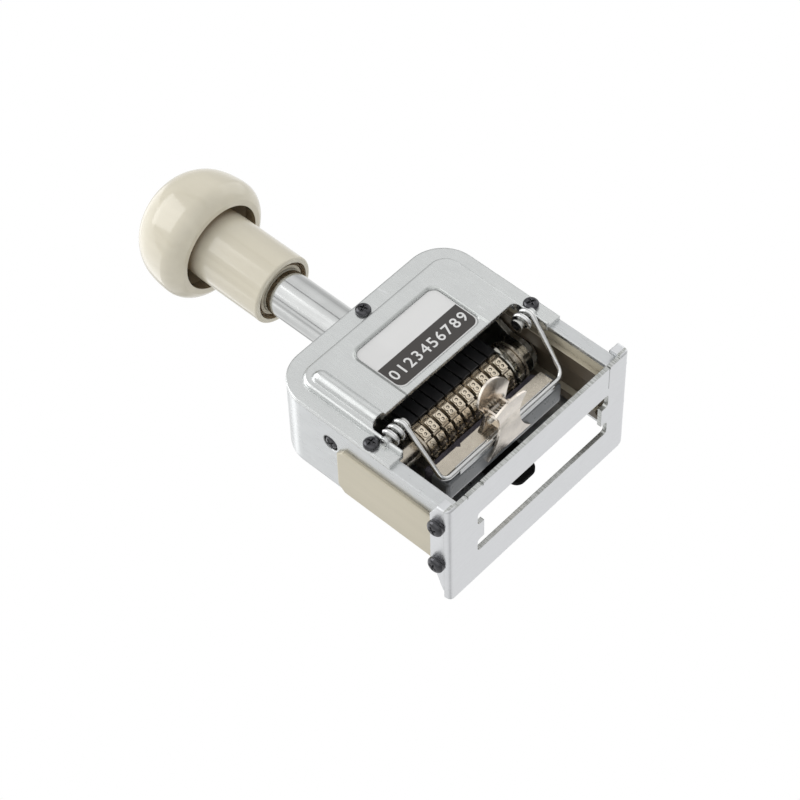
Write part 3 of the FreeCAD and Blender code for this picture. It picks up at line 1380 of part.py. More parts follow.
# Finger clip: a lower leaf whose jaw holds the tray from below and a lever leaf whose jaw presses on
# the clamp plate. Both turn on one pin, and a torsion spring round it drives their tabs apart.
def make_clip():
    thick = s.clip_sheet
    pivot_y = -s.clip_pivot_reach
    pivot_z = s.clip_pivot_z
    centre = s.clip_setoff
    ear = s.clip_ear_half
    eye = s.clip_spring_radius
    fold_y = pivot_y - s.clip_fold_out
    across = (centre - s.clip_jaw_half, centre + s.clip_jaw_half)
    floor = s.tray_foot - s.side_gap - thick
    jaw_y = -s.clip_jaw_reach
    end_y = -s.clip_tab_shoulder - s.clip_tab_half / 2
    lower_strip = prism("clip_lower_strip", "x", *across, [
        (end_y, floor - s.clip_tab_drop), (fold_y, floor), (jaw_y, floor), (jaw_y, s.tray_foot),
        (jaw_y - thick, s.tray_foot), (jaw_y - thick, floor + thick), (fold_y, floor + thick),
        (end_y, floor - s.clip_tab_drop + thick),
    ])
    lower_plan = prism(
        "clip_lower_plan", "z", floor - s.clip_tab_drop - s.overrun, pivot_z,
        clip_leaf_loop(centre, jaw_y, s.clip_jaw_half, -s.clip_tab_shoulder, s.clip_tab_half, s.clip_side_arc, s.clip_tab_arc))
    lower = common("clip_lower_leaf", lower_strip, lower_plan)
    lower_ears = []
    for name, low in (("left", centre - ear), ("right", centre + ear - thick)):
        lower_ears.append(box("clip_lower_ear_%s" % name, (low, low + thick), (pivot_y - eye, pivot_y + eye), (floor, pivot_z)))
        lower_ears.append(bar("clip_lower_eye_%s" % name, "x", eye, low, low + thick, pivot_y, pivot_z))
    lower_hole = bar("clip_lower_hole", "x", s.clip_pin_radius + s.push_gap, *across, pivot_y, pivot_z)
    keep("clip_lower", cut("clip_lower", fuse("clip_lower_blank", lower, *lower_ears), lower_hole))

    touch_y = tray_front() - s.clamp_thick - s.side_gap
    high_z = pivot_z + eye + s.clip_spring_wire + s.free_gap
    jaw_z = s.clamp_top - s.clamp_notch * 2
    tip_y = -s.lever_shoulder - s.lever_arc
    tip_z = high_z + s.lever_rise
    lever_strip = prism("clip_lever_strip", "x", *across, [
        (tip_y, tip_z), (fold_y, high_z, s.lever_curl), (pivot_y, high_z), (touch_y - thick, jaw_z - thick),
        (touch_y, jaw_z - thick), (touch_y, jaw_z + thick), (touch_y - thick, jaw_z + thick), (pivot_y, high_z + thick),
        (fold_y, high_z + thick), (tip_y, tip_z + thick, -s.lever_curl),
    ])
    lever_plan = prism(
        "clip_lever_plan", "z", pivot_z, tip_z + s.overrun * 2,
        clip_leaf_loop(centre, touch_y, s.lever_jaw_half, -s.lever_shoulder, s.clip_tab_half, s.lever_side_arc, s.lever_arc))
    lever = common("clip_lever_leaf", lever_strip, lever_plan)
    lever_ears = []
    shift = thick + s.side_gap
    for name, low in (("left", centre - ear + shift), ("right", centre + ear - shift - thick)):
        lever_ears.append(box(
            "clip_lever_ear_%s" % name, (low, low + thick), (pivot_y - eye, pivot_y + eye), (pivot_z, high_z + thick / 2)))
        lever_ears.append(bar("clip_lever_eye_%s" % name, "x", eye, low, low + thick, pivot_y, pivot_z))
    lever_hole = bar("clip_lever_hole", "x", s.clip_pin_radius + s.running_gap, *across, pivot_y, pivot_z)
    keep("clip_lever", cut("clip_lever", fuse("clip_lever_blank", lever, *lever_ears), lever_hole))
    keep("clip_pin", bar(
        "clip_pin", "x", s.clip_pin_radius, centre - s.clip_pin_half, centre + s.clip_pin_half, pivot_y, pivot_z))
    make_clip_spring(pivot_y.value, pivot_z.value)


def make_clip_spring(pivot_y, pivot_z):
    wire = s.clip_spring_wire.value
    radius = s.clip_spring_radius.value - wire
    length = 2 * (s.clip_spring_half.value - wire)
    start_x = s.clip_setoff.value - length / 2
    pitch = length / CLIP_TURNS
    slope = math.hypot(radius, pitch / math.tau)
    stations = []
    for half_turn in range(2 * CLIP_TURNS + 1):
        angle = math.pi * half_turn
        point = FreeCAD.Vector(
            start_x + pitch * half_turn / 2, pivot_y + radius * math.cos(angle), pivot_z + radius * math.sin(angle))
        leave = FreeCAD.Vector(
            pitch / math.tau / slope, -radius * math.sin(angle) / slope, radius * math.cos(angle) / slope)
        stations.append((point, leave))
    path = path_through(stations)
    print("clip spring gap %.2f mm" % least_gap(path, wire, math.pi * radius))
    keep("clip_spring", solid_feature("clip_spring", tube_on(path, *stations[0], wire)))


make_casing()
make_cover()
make_screws()
make_stem()
make_guides()
make_base()
make_bail_pins()
make_aiming_tab()
make_handle()
make_return_spring()
make_carriage()
make_spacers()
make_wheels()
make_feed()
make_detents()
make_bail()
make_hem()
make_tray()
make_clip()
doc.recompute()

faults = [thing.Name for thing in doc.Objects if "Invalid" in thing.State or "Error" in thing.State]
for label, thing in pieces.items():
    if thing.Shape.isNull() or not thing.Shape.isValid():
        faults.append(label)
if faults:
    raise RuntimeError("these objects did not build: %s" % ", ".join(faults))

os.makedirs("parts", exist_ok=True)
for label, thing in pieces.items():
    thing.Shape.exportStep("parts/%s.step" % label)
print("%d parts written" % len(pieces))
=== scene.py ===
import math

import bmesh
import bpy
import numpy as np
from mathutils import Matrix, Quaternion, Vector


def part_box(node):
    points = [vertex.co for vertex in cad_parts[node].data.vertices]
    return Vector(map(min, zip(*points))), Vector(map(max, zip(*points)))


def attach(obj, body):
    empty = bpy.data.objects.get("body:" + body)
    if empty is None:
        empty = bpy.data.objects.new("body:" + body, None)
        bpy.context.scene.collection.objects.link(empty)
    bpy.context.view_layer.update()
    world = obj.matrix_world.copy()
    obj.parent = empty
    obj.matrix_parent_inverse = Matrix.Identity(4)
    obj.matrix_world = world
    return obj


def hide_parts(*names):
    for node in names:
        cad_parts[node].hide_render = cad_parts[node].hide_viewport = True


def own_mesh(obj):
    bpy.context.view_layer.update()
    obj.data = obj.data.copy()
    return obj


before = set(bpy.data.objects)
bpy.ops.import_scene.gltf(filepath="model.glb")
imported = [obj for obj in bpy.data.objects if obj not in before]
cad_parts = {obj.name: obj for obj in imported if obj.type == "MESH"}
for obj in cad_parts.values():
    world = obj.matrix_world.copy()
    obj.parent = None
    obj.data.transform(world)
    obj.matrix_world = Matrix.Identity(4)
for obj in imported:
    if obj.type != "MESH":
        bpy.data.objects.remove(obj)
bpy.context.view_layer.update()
print("frame loaded with", len(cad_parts), "nodes")

# Camera, light and floor

camera = {
    "place": (-0.36883, -0.64828, -0.30096),
    "turn": (0.3983138, 0.8244393, 0.1848815, -0.3570222),
    "lens": 121.264,
    "sensor": 36,
    "near": 0.01,
    "far": 20,
}

light = {
    "worldFill": 0.78,        # what the surroundings add to plain surfaces
    "lamps": [                # place, aim, size, watts
        ((-0.36, -0.50, 0.88), (0, 0, 0.07), 0.75, 3.6),
        ((0.90, -0.22, 0.05), (0, 0, 0.05), 0.80, 1.3),
        ((-0.25, 0.30, 0.85), (0, 0, 0.08), 1.00, 2.6),
    ],
    "cards": [                # upright dark cards in reflections: direction and width in degrees, shade
        (-75, 5, 0.70), (-165, 5, 0.70), (-5, 40, 0.30), (90, 14, 0.50), (174, 12, 0.30),
    ],
    "window": (-122, 44, 0.32),           # a brighter part of the room: direction, width, gain
    "softEdge": (1.5, 0.5),   # where cards and the window fade out and in, as shares of half their width
    "roofShade": 0.45,        # how much darker reflections are straight above and below
    "roofRange": (0.55, 1.0),             # where that sets in and where it is full, as the slope of the ray
    "roomLevel": 0.94,        # how bright the pale room is in reflections
    "floorSize": 3.0,
    "floorDrop": 0.0003,
}


def makeCamera(facts):
    lens = bpy.data.cameras.new("photoCamera")
    lens.lens = facts["lens"]
    lens.sensor_width = facts["sensor"]
    lens.clip_start, lens.clip_end = facts["near"], facts["far"]
    holder = bpy.data.objects.new("photoCamera", lens)
    holder.rotation_mode = "QUATERNION"
    holder.location = facts["place"]
    holder.rotation_quaternion = Quaternion(facts["turn"])
    bpy.context.scene.collection.objects.link(holder)
    bpy.context.scene.camera = holder


def makeLamps(facts):
    for number, (place, aim, size, watts) in enumerate(facts["lamps"], start=1):
        lamp = bpy.data.lights.new("softLamp%d" % number, "AREA")
        lamp.size, lamp.energy = size, watts
        holder = bpy.data.objects.new(lamp.name, lamp)
        holder.location = place
        holder.rotation_mode = "QUATERNION"
        holder.rotation_quaternion = (Vector(aim) - Vector(place)).to_track_quat("-Z", "Y")
        bpy.context.scene.collection.objects.link(holder)


# A socket of a paint. Python sums of flows add math nodes to the paint.
class Flow:
    def __init__(self, paint, socket):
        self.paint, self.socket = paint, socket

    def __add__(self, other):
        return self.paint.math("ADD", self, other)

    def __radd__(self, other):
        return self.paint.math("ADD", other, self)

    def __sub__(self, other):
        return self.paint.math("SUBTRACT", self, other)

    def __rsub__(self, other):
        return self.paint.math("SUBTRACT", other, self)

    def __mul__(self, other):
        return self.paint.math("MULTIPLY", self, other)

    def __rmul__(self, other):
        return self.paint.math("MULTIPLY", other, self)

    def __pow__(self, other):
        return self.paint.math("POWER", self, other)

    def magnitude(self):
        return self.paint.math("ABSOLUTE", self, 0)


# The node tree of a new material, or of the world. A noise is given by its scale, detail and
# roughness, and a range by what becomes 0 and what becomes 1.
class Paint:
    def __init__(self, name, tree=None):
        if tree is None:
            self.material = bpy.data.materials.new(name)
            self.material.use_nodes = True
            tree = self.material.node_tree
        self.tree = tree
        self.tree.nodes.clear()

    # One node: its type, what its sockets hold, the output to hand on, and its settings
    def node(self, kind, sockets=None, output=0, **settings):
        made = self.tree.nodes.new(kind)
        for key, value in settings.items():
            setattr(made, key, value)
        for key, value in (sockets or {}).items():
            if isinstance(value, Flow):
                self.tree.links.new(value.socket, made.inputs[key])
            else:
                made.inputs[key].default_value = value
        return Flow(self, made.outputs[output]) if len(made.outputs) else None

    def math(self, operation, first, second):
        return self.node("ShaderNodeMath", {0: first, 1: second}, operation=operation)

    def place(self, stretch=(1, 1, 1)):
        coordinates = self.node("ShaderNodeTexCoord", output="Object")
        return self.node("ShaderNodeMapping", {"Vector": coordinates, "Scale": stretch})

    def noise(self, scale, detail, rough, stretch=(1, 1, 1)):
        return self.node("ShaderNodeTexNoise", {
            "Vector": self.place(stretch), "Scale": scale, "Detail": detail, "Roughness": rough})

    def mix(self, amount, first, second):
        return self.node("ShaderNodeMix", {0: amount, 6: first, 7: second}, output=2, data_type="RGBA")

    def range(self, value, low, high, toLow=0.0, toHigh=1.0):
        return self.node("ShaderNodeMapRange", {
            "Value": value, "From Min": low, "From Max": high, "To Min": toLow, "To Max": toHigh}, clamp=True)

    # 1 in the open, less in a hollow as wide as the reach
    def hollow(self, reach, alone=False):
        return self.node("ShaderNodeAmbientOcclusion", {"Distance": reach}, "AO", samples=6, only_local=alone)

    # x, y and z of a vector
    def split(self, vector):
        parts = self.node("ShaderNodeSeparateXYZ", {"Vector": vector})
        return [Flow(self, output) for output in parts.socket.node.outputs]

    def facing(self):
        return self.split(self.node("ShaderNodeNewGeometry", output="Normal"))

    # 1 on the faces of a guide's channel, behind its front lip, that look towards the middle
    def channelFaces(self, channel):
        x, y, _ = self.split(self.place())
        inward = self.range(0 - x * self.facing()[0], *channel["reach"])
        return inward * self.range(y, channel["lip"] - channel["soft"], channel["lip"])

    # 1 on the thin edges of a plate that lies on z = 0
    def shearedEdge(self, plate):
        height = self.split(self.place())[2]
        upright = self.range(self.facing()[2].magnitude(), *plate["edgeRange"])
        return upright * self.range(height, plate["thick"] + plate["soft"], plate["thick"])

    # Height from 0 to 1 of the slope round a pressed dish, a rectangle in x and z with round corners,
    # that has no slope along its foot
    def dishSlope(self, dish):
        x, _, z = self.split(self.place())
        across = (x - dish["middle"][0]).magnitude() - (dish["half"][0] - dish["round"])
        up = z - dish["middle"][1] - (dish["half"][1] - dish["round"])
        across, up = self.math("MAXIMUM", across, 0), self.math("MAXIMUM", up, 0)
        away = (across ** 2 + up ** 2) ** 0.5 - dish["round"]
        return self.node("ShaderNodeMapRange", {
            "Value": away, "From Min": 0.0, "From Max": dish["wide"]}, interpolation_type="SMOOTHSTEP")

    # Rounded look at the edges of a part, as a normal
    def softEdge(self, radius):
        return self.node("ShaderNodeBevel", {"Radius": radius}, samples=4)

    # 1 at the edges, 0 on the faces, from how far the rounded normal leans from the flat one
    def edgeMask(self, radius):
        rounded = self.softEdge(radius)
        flat = self.node("ShaderNodeNewGeometry", output="Normal")
        lean = self.node("ShaderNodeVectorMath", {0: rounded, 1: flat}, "Value", operation="DOT_PRODUCT")
        return self.range(lean, 0.98, 0.80)

    def bump(self, height, distance, strength, normal=None):
        sockets = {"Height": height, "Distance": distance, "Strength": strength}
        if normal is not None:
            sockets["Normal"] = normal
        return self.node("ShaderNodeBump", sockets)

    def finish(self, sockets):
        shader = self.node("ShaderNodeBsdfPrincipled", sockets)
        self.node("ShaderNodeOutputMaterial", {"Surface": shader})
        return self.material


def colour(tint, share=1.0):
    return (*(part * share for part in tint), 1.0)


def grey(level):
    return (level, level, level, 1.0)


# The world is white to the camera, a plain fill to plain surfaces, and in reflections a pale room
# with upright dark cards, which polished metal needs to look like metal
def makeWorld(facts):
    world = bpy.data.worlds.new("studioWorld")
    bpy.context.scene.world = world
    world.use_nodes = True
    paint = Paint("studioWorld", world.node_tree)
    x, y, z = paint.split(paint.node("ShaderNodeTexCoord", output="Generated"))
    turn = paint.math("ARCTAN2", y, x)
    level = facts["roomLevel"] * (1 - paint.range(z.magnitude(), *facts["roofRange"]) * facts["roofShade"])
    outer, inner = facts["softEdge"]

    def upright(degrees, wide):
        away = (turn - math.radians(degrees)).magnitude()
        half = math.radians(wide) / 2
        return paint.range(away, half * outer, half * inner)

    degrees, wide, gain = facts["window"]
    level = level * (1 + upright(degrees, wide) * gain)
    for degrees, wide, shade in facts["cards"]:
        level = level * (1 - upright(degrees, wide) * shade)
    rays = ["Is Camera Ray", "Is Glossy Ray", "Is Transmission Ray"]
    seen, glossy, through = [paint.node("ShaderNodeLightPath", output=ray) for ray in rays]
    mirrored = paint.math("MAXIMUM", glossy, through)
    plain = facts["worldFill"] + mirrored * (level - facts["worldFill"])
    strength = plain + seen * (1 - plain)
    glow = paint.node("ShaderNodeBackground", {"Color": grey(1), "Strength": strength})
    paint.node("ShaderNodeOutputWorld", {"Surface": glow})


zincLook = {
    "clouds": (130, 3.0, 0.55), "grain": (1500, 2.0, 0.6), "lines": (560, 3.0, 0.6), "scratches": (420, 2.0, 0.5),
    "scratchStretch": 0.7, "dark": 0.94, "pale": 1.04, "toneRange": (0.36, 0.64),
    "scratchRange": (0.68, 0.76), "scratchShare": 0.5, "scratchTint": (0.80, 0.81, 0.82),
    "cornerReach": 0.0007, "cornerRange": (0.75, 0.35), "cornerShadeShare": 0.6, "cornerShadeGrey": 0.10,
    "cuts": (900, 2.0, 0.6, (3, 3, 0.2)), "cutRange": (0.38, 0.60),
    "cutDark": (0.36, 0.37, 0.35), "cutPale": (0.60, 0.61, 0.60), "seamGrey": 0.20,
    "wornHighlightReach": 0.00025, "wornHighlightShare": 0.4, "wornHighlightTint": (0.86, 0.87, 0.87), "dishShadeTint": (0.22, 0.24, 0.22),
    "roughRange": (0.35, 0.65), "roughSpread": 0.05, "lineHeight": 0.000004, "lineStrength": 0.2, "metallic": 0.94,
}


# Zinc-plated sheet: faint patches, fine short rolling marks, edges made paler for wear and as a painted
# highlight, and painted shade in the corners. The base plate also has sheared edges and a short dark seam
# at its front, and the cover the slope round its label, with painted shade on it.
def zincSheet(name, tint, rough, lineStretch, edgeRound, dish=None, plate=None, seam=None):
    look = zincLook
    paint = Paint(name)
    clouds, grain = paint.noise(*look["clouds"]), paint.noise(*look["grain"])
    lines = paint.noise(*look["lines"], lineStretch)
    scratches = paint.noise(*look["scratches"], tuple(part * look["scratchStretch"] for part in lineStretch))
    tone = paint.range(clouds * 0.4 + lines * 0.45 + grain * 0.15, *look["toneRange"])
    base = paint.mix(tone, colour(tint, look["dark"]), colour(tint, look["pale"]))
    scratched = paint.range(scratches, *look["scratchRange"]) * look["scratchShare"]
    base = paint.mix(scratched, base, colour(look["scratchTint"]))
    # Painted shade: the colour goes dark grey in the corners that ambient occlusion finds
    paintedCornerShade = paint.range(paint.hollow(look["cornerReach"], True), *look["cornerRange"]) * look["cornerShadeShare"]
    base = paint.mix(paintedCornerShade, base, grey(look["cornerShadeGrey"]))
    if plate:
        cuts = paint.range(paint.noise(*look["cuts"]), *look["cutRange"])
        sheared = paint.mix(cuts, colour(look["cutDark"]), colour(look["cutPale"]))
        base = paint.mix(paint.shearedEdge(plate), base, sheared)
    if seam:
        x, y, _ = paint.split(paint.place())
        gap = paint.range((x - seam["x"]).magnitude(), seam["wide"], seam["wide"] * 0.5)
        gap = gap * paint.range(y, seam["rear"], seam["rear"] - seam["soft"])
        base = paint.mix(gap, base, grey(look["seamGrey"]))
    # Painted highlight with wear: the edges go paler all along
    base = paint.mix(paint.edgeMask(look["wornHighlightReach"]) * look["wornHighlightShare"], base, colour(look["wornHighlightTint"]))
    roughness = paint.range(
        clouds * 0.4 + lines * 0.6, *look["roughRange"], rough - look["roughSpread"], rough + look["roughSpread"])
    normal = paint.softEdge(edgeRound)
    if dish:
        slope = paint.dishSlope(dish)
        normal = paint.bump(slope, dish["deep"], 1.0, normal)
        # Painted shade on the slope round the label, darkest halfway down it
        base = paint.mix(slope * (1 - slope) * dish["shade"], base, colour(look["dishShadeTint"]))
    normal = paint.bump(lines, look["lineHeight"], look["lineStrength"], normal)
    return paint.finish({
        "Base Color": base, "Metallic": look["metallic"], "Roughness": roughness, "Normal": normal})


brightLook = {
    "lines": (420, 3.0, 0.6), "spots": (70, 3.0, 0.6), "dark": 0.82, "toneRange": (0.36, 0.64),
    "roughRange": (0.35, 0.65), "smoother": 0.05, "rougher": 0.07, "lineHeight": 0.00001, "lineStrength": 0.4,
    "edgeRound": 0.0002,
}


# Plain bright metal with drawn lines
def brightMetal(name, tint, rough, stretch):
    look = brightLook
    paint = Paint(name)
    lines, spots = paint.noise(*look["lines"], stretch), paint.noise(*look["spots"])
    tone = paint.range(spots * 0.5 + lines * 0.5, *look["toneRange"])
    base = paint.mix(tone, colour(tint, look["dark"]), colour(tint))
    roughness = paint.range(lines, *look["roughRange"], rough - look["smoother"], rough + look["rougher"])
    normal = paint.bump(lines, look["lineHeight"], look["lineStrength"], paint.softEdge(look["edgeRound"]))
    return paint.finish({"Base Color": base, "Metallic": 1.0, "Roughness": roughness, "Normal": normal})


nickelLook = {
    "clouds": (160, 4.0, 0.6), "grain": (1200, 2.0, 0.55), "dark": 0.85, "toneRange": (0.38, 0.62),
    "wideHollow": 0.0016, "narrowHollow": 0.0004, "inkAndShadeRange": (0.98, 0.56), "inkAndShadeToMetal": (0.3, 0.9, 0.97, 0.4),
    "roughRange": (0.4, 0.6), "smoother": 0.06, "rougher": 0.08, "grainHeight": 0.00001, "grainStrength": 0.3,
    "edgeRound": 0.00015,
}


# Warm nickel with brown ink and painted shade in the hollows
def warmNickel(name, tint, inkAndShade, rough, inkAndShadeShare):
    look = nickelLook
    paint = Paint(name)
    clouds, grain = paint.noise(*look["clouds"]), paint.noise(*look["grain"])
    # Painted shade with ink: hollows that ambient occlusion finds go dark brown and less metallic
    openness = paint.hollow(look["wideHollow"]) * 0.6 + paint.hollow(look["narrowHollow"]) * 0.4 + clouds * 0.25
    inkedAndShaded = paint.range(openness, *look["inkAndShadeRange"]) * inkAndShadeShare
    face = paint.mix(paint.range(clouds, *look["toneRange"]), colour(tint, look["dark"]), colour(tint))
    base = paint.mix(inkedAndShaded, face, colour(inkAndShade))
    roughness = paint.range(
        clouds * 0.5 + grain * 0.5, *look["roughRange"], rough - look["smoother"], rough + look["rougher"])
    normal = paint.bump(grain, look["grainHeight"], look["grainStrength"], paint.softEdge(look["edgeRound"]))
    metallic = paint.range(inkedAndShaded, *look["inkAndShadeToMetal"])
    return paint.finish({"Base Color": base, "Metallic": metallic, "Roughness": roughness, "Normal": normal})


blackLook = {
    "clouds": (220, 3.0, 0.6), "grain": (1500, 2.0, 0.5), "edgeReach": 0.0002, "wearRange": (0.4, 0.6),
    "wornGrey": 0.34, "hollowReach": 0.0008, "hollowShadeRange": (0.75, 0.35), "recessShadeGrey": 0.004,
    "roughRange": (0.35, 0.65), "smoother": 0.06, "rougher": 0.10, "grainHeight": 0.00001, "grainStrength": 0.35,
    "edgeRound": 0.0002,
}


# Black oxide or dark enamel, paler where it rubs, with painted shade, nearly black, in its recesses
def blackFinish(name, tint, rough, metallic, wear, gloss=1.5):
    look = blackLook
    paint = Paint(name)
    clouds, grain = paint.noise(*look["clouds"]), paint.noise(*look["grain"])
    edge = paint.edgeMask(look["edgeReach"]) * paint.range(clouds, *look["wearRange"]) * wear
    worn = paint.mix(edge, colour(tint), grey(look["wornGrey"]))
    # Painted shade: recesses that ambient occlusion finds go nearly black
    deep = paint.range(paint.hollow(look["hollowReach"], True), *look["hollowShadeRange"])
    base = paint.mix(deep, worn, grey(look["recessShadeGrey"]))
    roughness = paint.range(
        clouds * 0.6 + grain * 0.4, *look["roughRange"], rough - look["smoother"], rough + look["rougher"])
    normal = paint.bump(grain, look["grainHeight"], look["grainStrength"], paint.softEdge(look["edgeRound"]))
    return paint.finish({
        "Base Color": base, "Metallic": metallic, "Roughness": roughness, "IOR": gloss, "Normal": normal})


plasticLook = {
    "flow": (38, 3.0, 0.5), "drawn": (240, 2.0, 0.5, (1, 1, 0.06)), "skin": (1400, 2.0, 0.5), "dark": 0.94,
    "toneRange": (0.38, 0.62), "hollowReach": 0.010, "hollowShadeRange": (0.60, 0.15), "roughRange": (0.35, 0.65),
    "smoother": 0.03, "rougher": 0.05, "skinHeight": 0.000004, "skinStrength": 0.05, "edgeRound": 0.0003,
    "coatRough": 0.05, "gloss": 1.5,
}
guideChannel = {"lip": -0.0142, "soft": 0.0001, "reach": (0.008, 0.020)}


# Moulded plastic: even colour with a faint flow pattern along z, brown painted shade in its hollows, and
# dark brown in the guides' channels, for grease and painted shade
def mouldedPlastic(name, tint, shade, rough, coat, greaseAndShade=0.0):
    look = plasticLook
    paint = Paint(name)
    flow, drawn, skin = [paint.noise(*look[part]) for part in ("flow", "drawn", "skin")]
    tone = paint.range(flow * 0.5 + drawn * 0.5, *look["toneRange"])
    plain = paint.mix(tone, colour(tint, look["dark"]), colour(tint))
    # Painted shade: hollows that ambient occlusion finds go toward the brown shade colour
    deep = paint.range(paint.hollow(look["hollowReach"]), *look["hollowShadeRange"])
    # Painted shade with grease: the inward faces of a guide's channel go dark brown
    if greaseAndShade:
        deep = paint.math("MAXIMUM", deep, paint.channelFaces(guideChannel) * greaseAndShade)
    base = paint.mix(deep, plain, colour(shade))
    roughness = paint.range(
        flow * 0.6 + skin * 0.4, *look["roughRange"], rough - look["smoother"], rough + look["rougher"])
    normal = paint.bump(skin, look["skinHeight"], look["skinStrength"], paint.softEdge(look["edgeRound"]))
    return paint.finish({
        "Base Color": base, "Metallic": 0.0, "Roughness": roughness, "Coat Weight": coat,
        "Coat Roughness": look["coatRough"], "IOR": look["gloss"], "Normal": normal})


feltLook = {
    "nap": (2600, 3.0, 0.7), "patches": (180, 3.0, 0.6), "toneRange": (0.38, 0.62),
    "fibreTint": (0.10, 0.09, 0.11), "napHeight": 0.00012, "napStrength": 0.8, "rough": 0.92,
}


# Inked felt: dark nap with lighter fibres
def inkedFelt(name, tint):
    look = feltLook
    paint = Paint(name)
    nap, patches = paint.noise(*look["nap"]), paint.noise(*look["patches"])
    tone = paint.range(nap * 0.6 + patches * 0.4, *look["toneRange"])
    base = paint.mix(tone, colour(tint), colour(look["fibreTint"]))
    normal = paint.bump(nap, look["napHeight"], look["napStrength"])
    return paint.finish({"Base Color": base, "Roughness": look["rough"], "Metallic": 0.0, "Normal": normal})


filmLook = {
    "skin": (1800, 2.0, 0.5), "tone": (60, 2.0, 0.5), "toneRange": (0.4, 0.6), "dark": 0.96,
    "skinHeight": 0.000005, "skinStrength": 0.2,
}


def printedFilm(name, tint, rough):
    look = filmLook
    paint = Paint(name)
    tone = paint.range(paint.noise(*look["tone"]), *look["toneRange"])
    base = paint.mix(tone, colour(tint, look["dark"]), colour(tint))
    normal = paint.bump(paint.noise(*look["skin"]), look["skinHeight"], look["skinStrength"])
    return paint.finish({"Base Color": base, "Roughness": rough, "Metallic": 0.0, "Normal": normal})


floorLook = {
    "patches": (3, 2.0, 0.5), "toneRange": (0.3, 0.7), "darkGrey": 0.86, "paleGrey": 0.90,
    "fadeRange": (0.25, 0.9),             # metres from the object
}


# The floor shows from above only, lets light through to the underside of the base, and pales into
# the white of the room far from the object
def floorMaterial(look):
    paint = Paint("paleFloor")
    patches = paint.range(paint.noise(*look["patches"]), *look["toneRange"])
    base = paint.mix(patches, grey(look["darkGrey"]), grey(look["paleGrey"]))
    plain = paint.node("ShaderNodeBsdfDiffuse", {"Color": base})
    clear = paint.node("ShaderNodeBsdfTransparent")
    seen = paint.node("ShaderNodeLightPath", output="Is Camera Ray")
    back = paint.node("ShaderNodeNewGeometry", output="Backfacing")
    x, y, _ = paint.split(paint.place())
    far = paint.range((x ** 2 + y ** 2) ** 0.5, *look["fadeRange"])
    white = paint.node("ShaderNodeEmission", {"Color": grey(1), "Strength": 1.0})
    paled = paint.node("ShaderNodeMixShader", {0: far, 1: plain, 2: white})
    surface = paint.node("ShaderNodeMixShader", {0: seen * (1 - back), 1: clear, 2: paled})
    paint.node("ShaderNodeOutputMaterial", {"Surface": surface})
    return paint.material


labelDish = {
    "middle": (0.0023, 0.0507), "half": (0.0176, 0.0098), "round": 0.0026, "wide": 0.0015, "deep": 0.00065,
    "shade": 1.6,
}
basePlate = {"thick": 0.0015, "soft": 0.0002, "edgeRange": (0.5, 0.3)}
baseSeam = {"x": 0.0316, "wide": 0.00016, "rear": -0.0125, "soft": 0.0002}
finishes = {
    "zincCase": zincSheet("zincCase", (0.63, 0.645, 0.65), 0.30, (2.2, 2.2, 0.35), 0.0008),
    "zincCover": zincSheet("zincCover", (0.66, 0.675, 0.67), 0.26, (2.2, 2.2, 0.35), 0.0008, labelDish),
    "basePlating": zincSheet(
        "basePlating", (0.72, 0.73, 0.745), 0.36, (0.3, 2, 2), 0.0003, plate=basePlate, seam=baseSeam),
    "platedNut": zincSheet("platedNut", (0.66, 0.67, 0.68), 0.32, (1, 1, 1), 0.0002),
    "chromeTube": brightMetal("chromeTube", (0.66, 0.67, 0.665), 0.11, (1, 1, 0.03)),
    "brightSteel": brightMetal("brightSteel", (0.60, 0.60, 0.58), 0.22, (0.05, 1, 1)),
    "brightWire": brightMetal("brightWire", (0.72, 0.725, 0.72), 0.16, (0.3, 1, 1)),
    "springSteel": brightMetal("springSteel", (0.42, 0.40, 0.36), 0.28, (1, 1, 1)),
    "carriagePlate": warmNickel("carriagePlate", (0.52, 0.51, 0.46), (0.03, 0.025, 0.018), 0.15, 0.9),
    "stripNickel": warmNickel("stripNickel", (0.60, 0.545, 0.46), (0.10, 0.07, 0.04), 0.28, 0.45),
    "wheelNickel": warmNickel("wheelNickel", (0.80, 0.71, 0.57), (0.035, 0.022, 0.012), 0.17, 1.0),
    "clipNickel": warmNickel("clipNickel", (0.90, 0.83, 0.745), (0.10, 0.07, 0.04), 0.18, 0.35),
    "bronzeLeaf": brightMetal("bronzeLeaf", (0.36, 0.22, 0.10), 0.35, (1, 1, 0.2)),
    "fingerBlack": blackFinish("fingerBlack", (0.012, 0.012, 0.013), 0.42, 0.2, 0.5),
    "screwBlack": blackFinish("screwBlack", (0.075, 0.075, 0.08), 0.13, 1.0, 0.9),
    "trayGrey": blackFinish("trayGrey", (0.150, 0.158, 0.165), 0.30, 0.15, 0.5),
    "tabBlack": blackFinish("tabBlack", (0.003, 0.003, 0.003), 0.7, 0.0, 0.0, 1.2),
    "handleBeige": mouldedPlastic("handleBeige", (0.665, 0.620, 0.500), (0.34, 0.25, 0.15), 0.13, 0.3),
    "guideBeige": mouldedPlastic("guideBeige", (0.57, 0.525, 0.41), (0.075, 0.055, 0.035), 0.36, 0.0, 0.95),
    "bushBeige": mouldedPlastic("bushBeige", (0.50, 0.46, 0.36), (0.30, 0.22, 0.13), 0.4, 0.0),
    "labelWhite": printedFilm("labelWhite", (0.74, 0.74, 0.735), 0.34),
    "labelDark": printedFilm("labelDark", (0.045, 0.04, 0.037), 0.30),
    "padFelt": inkedFelt("padFelt", (0.012, 0.010, 0.014)),
}

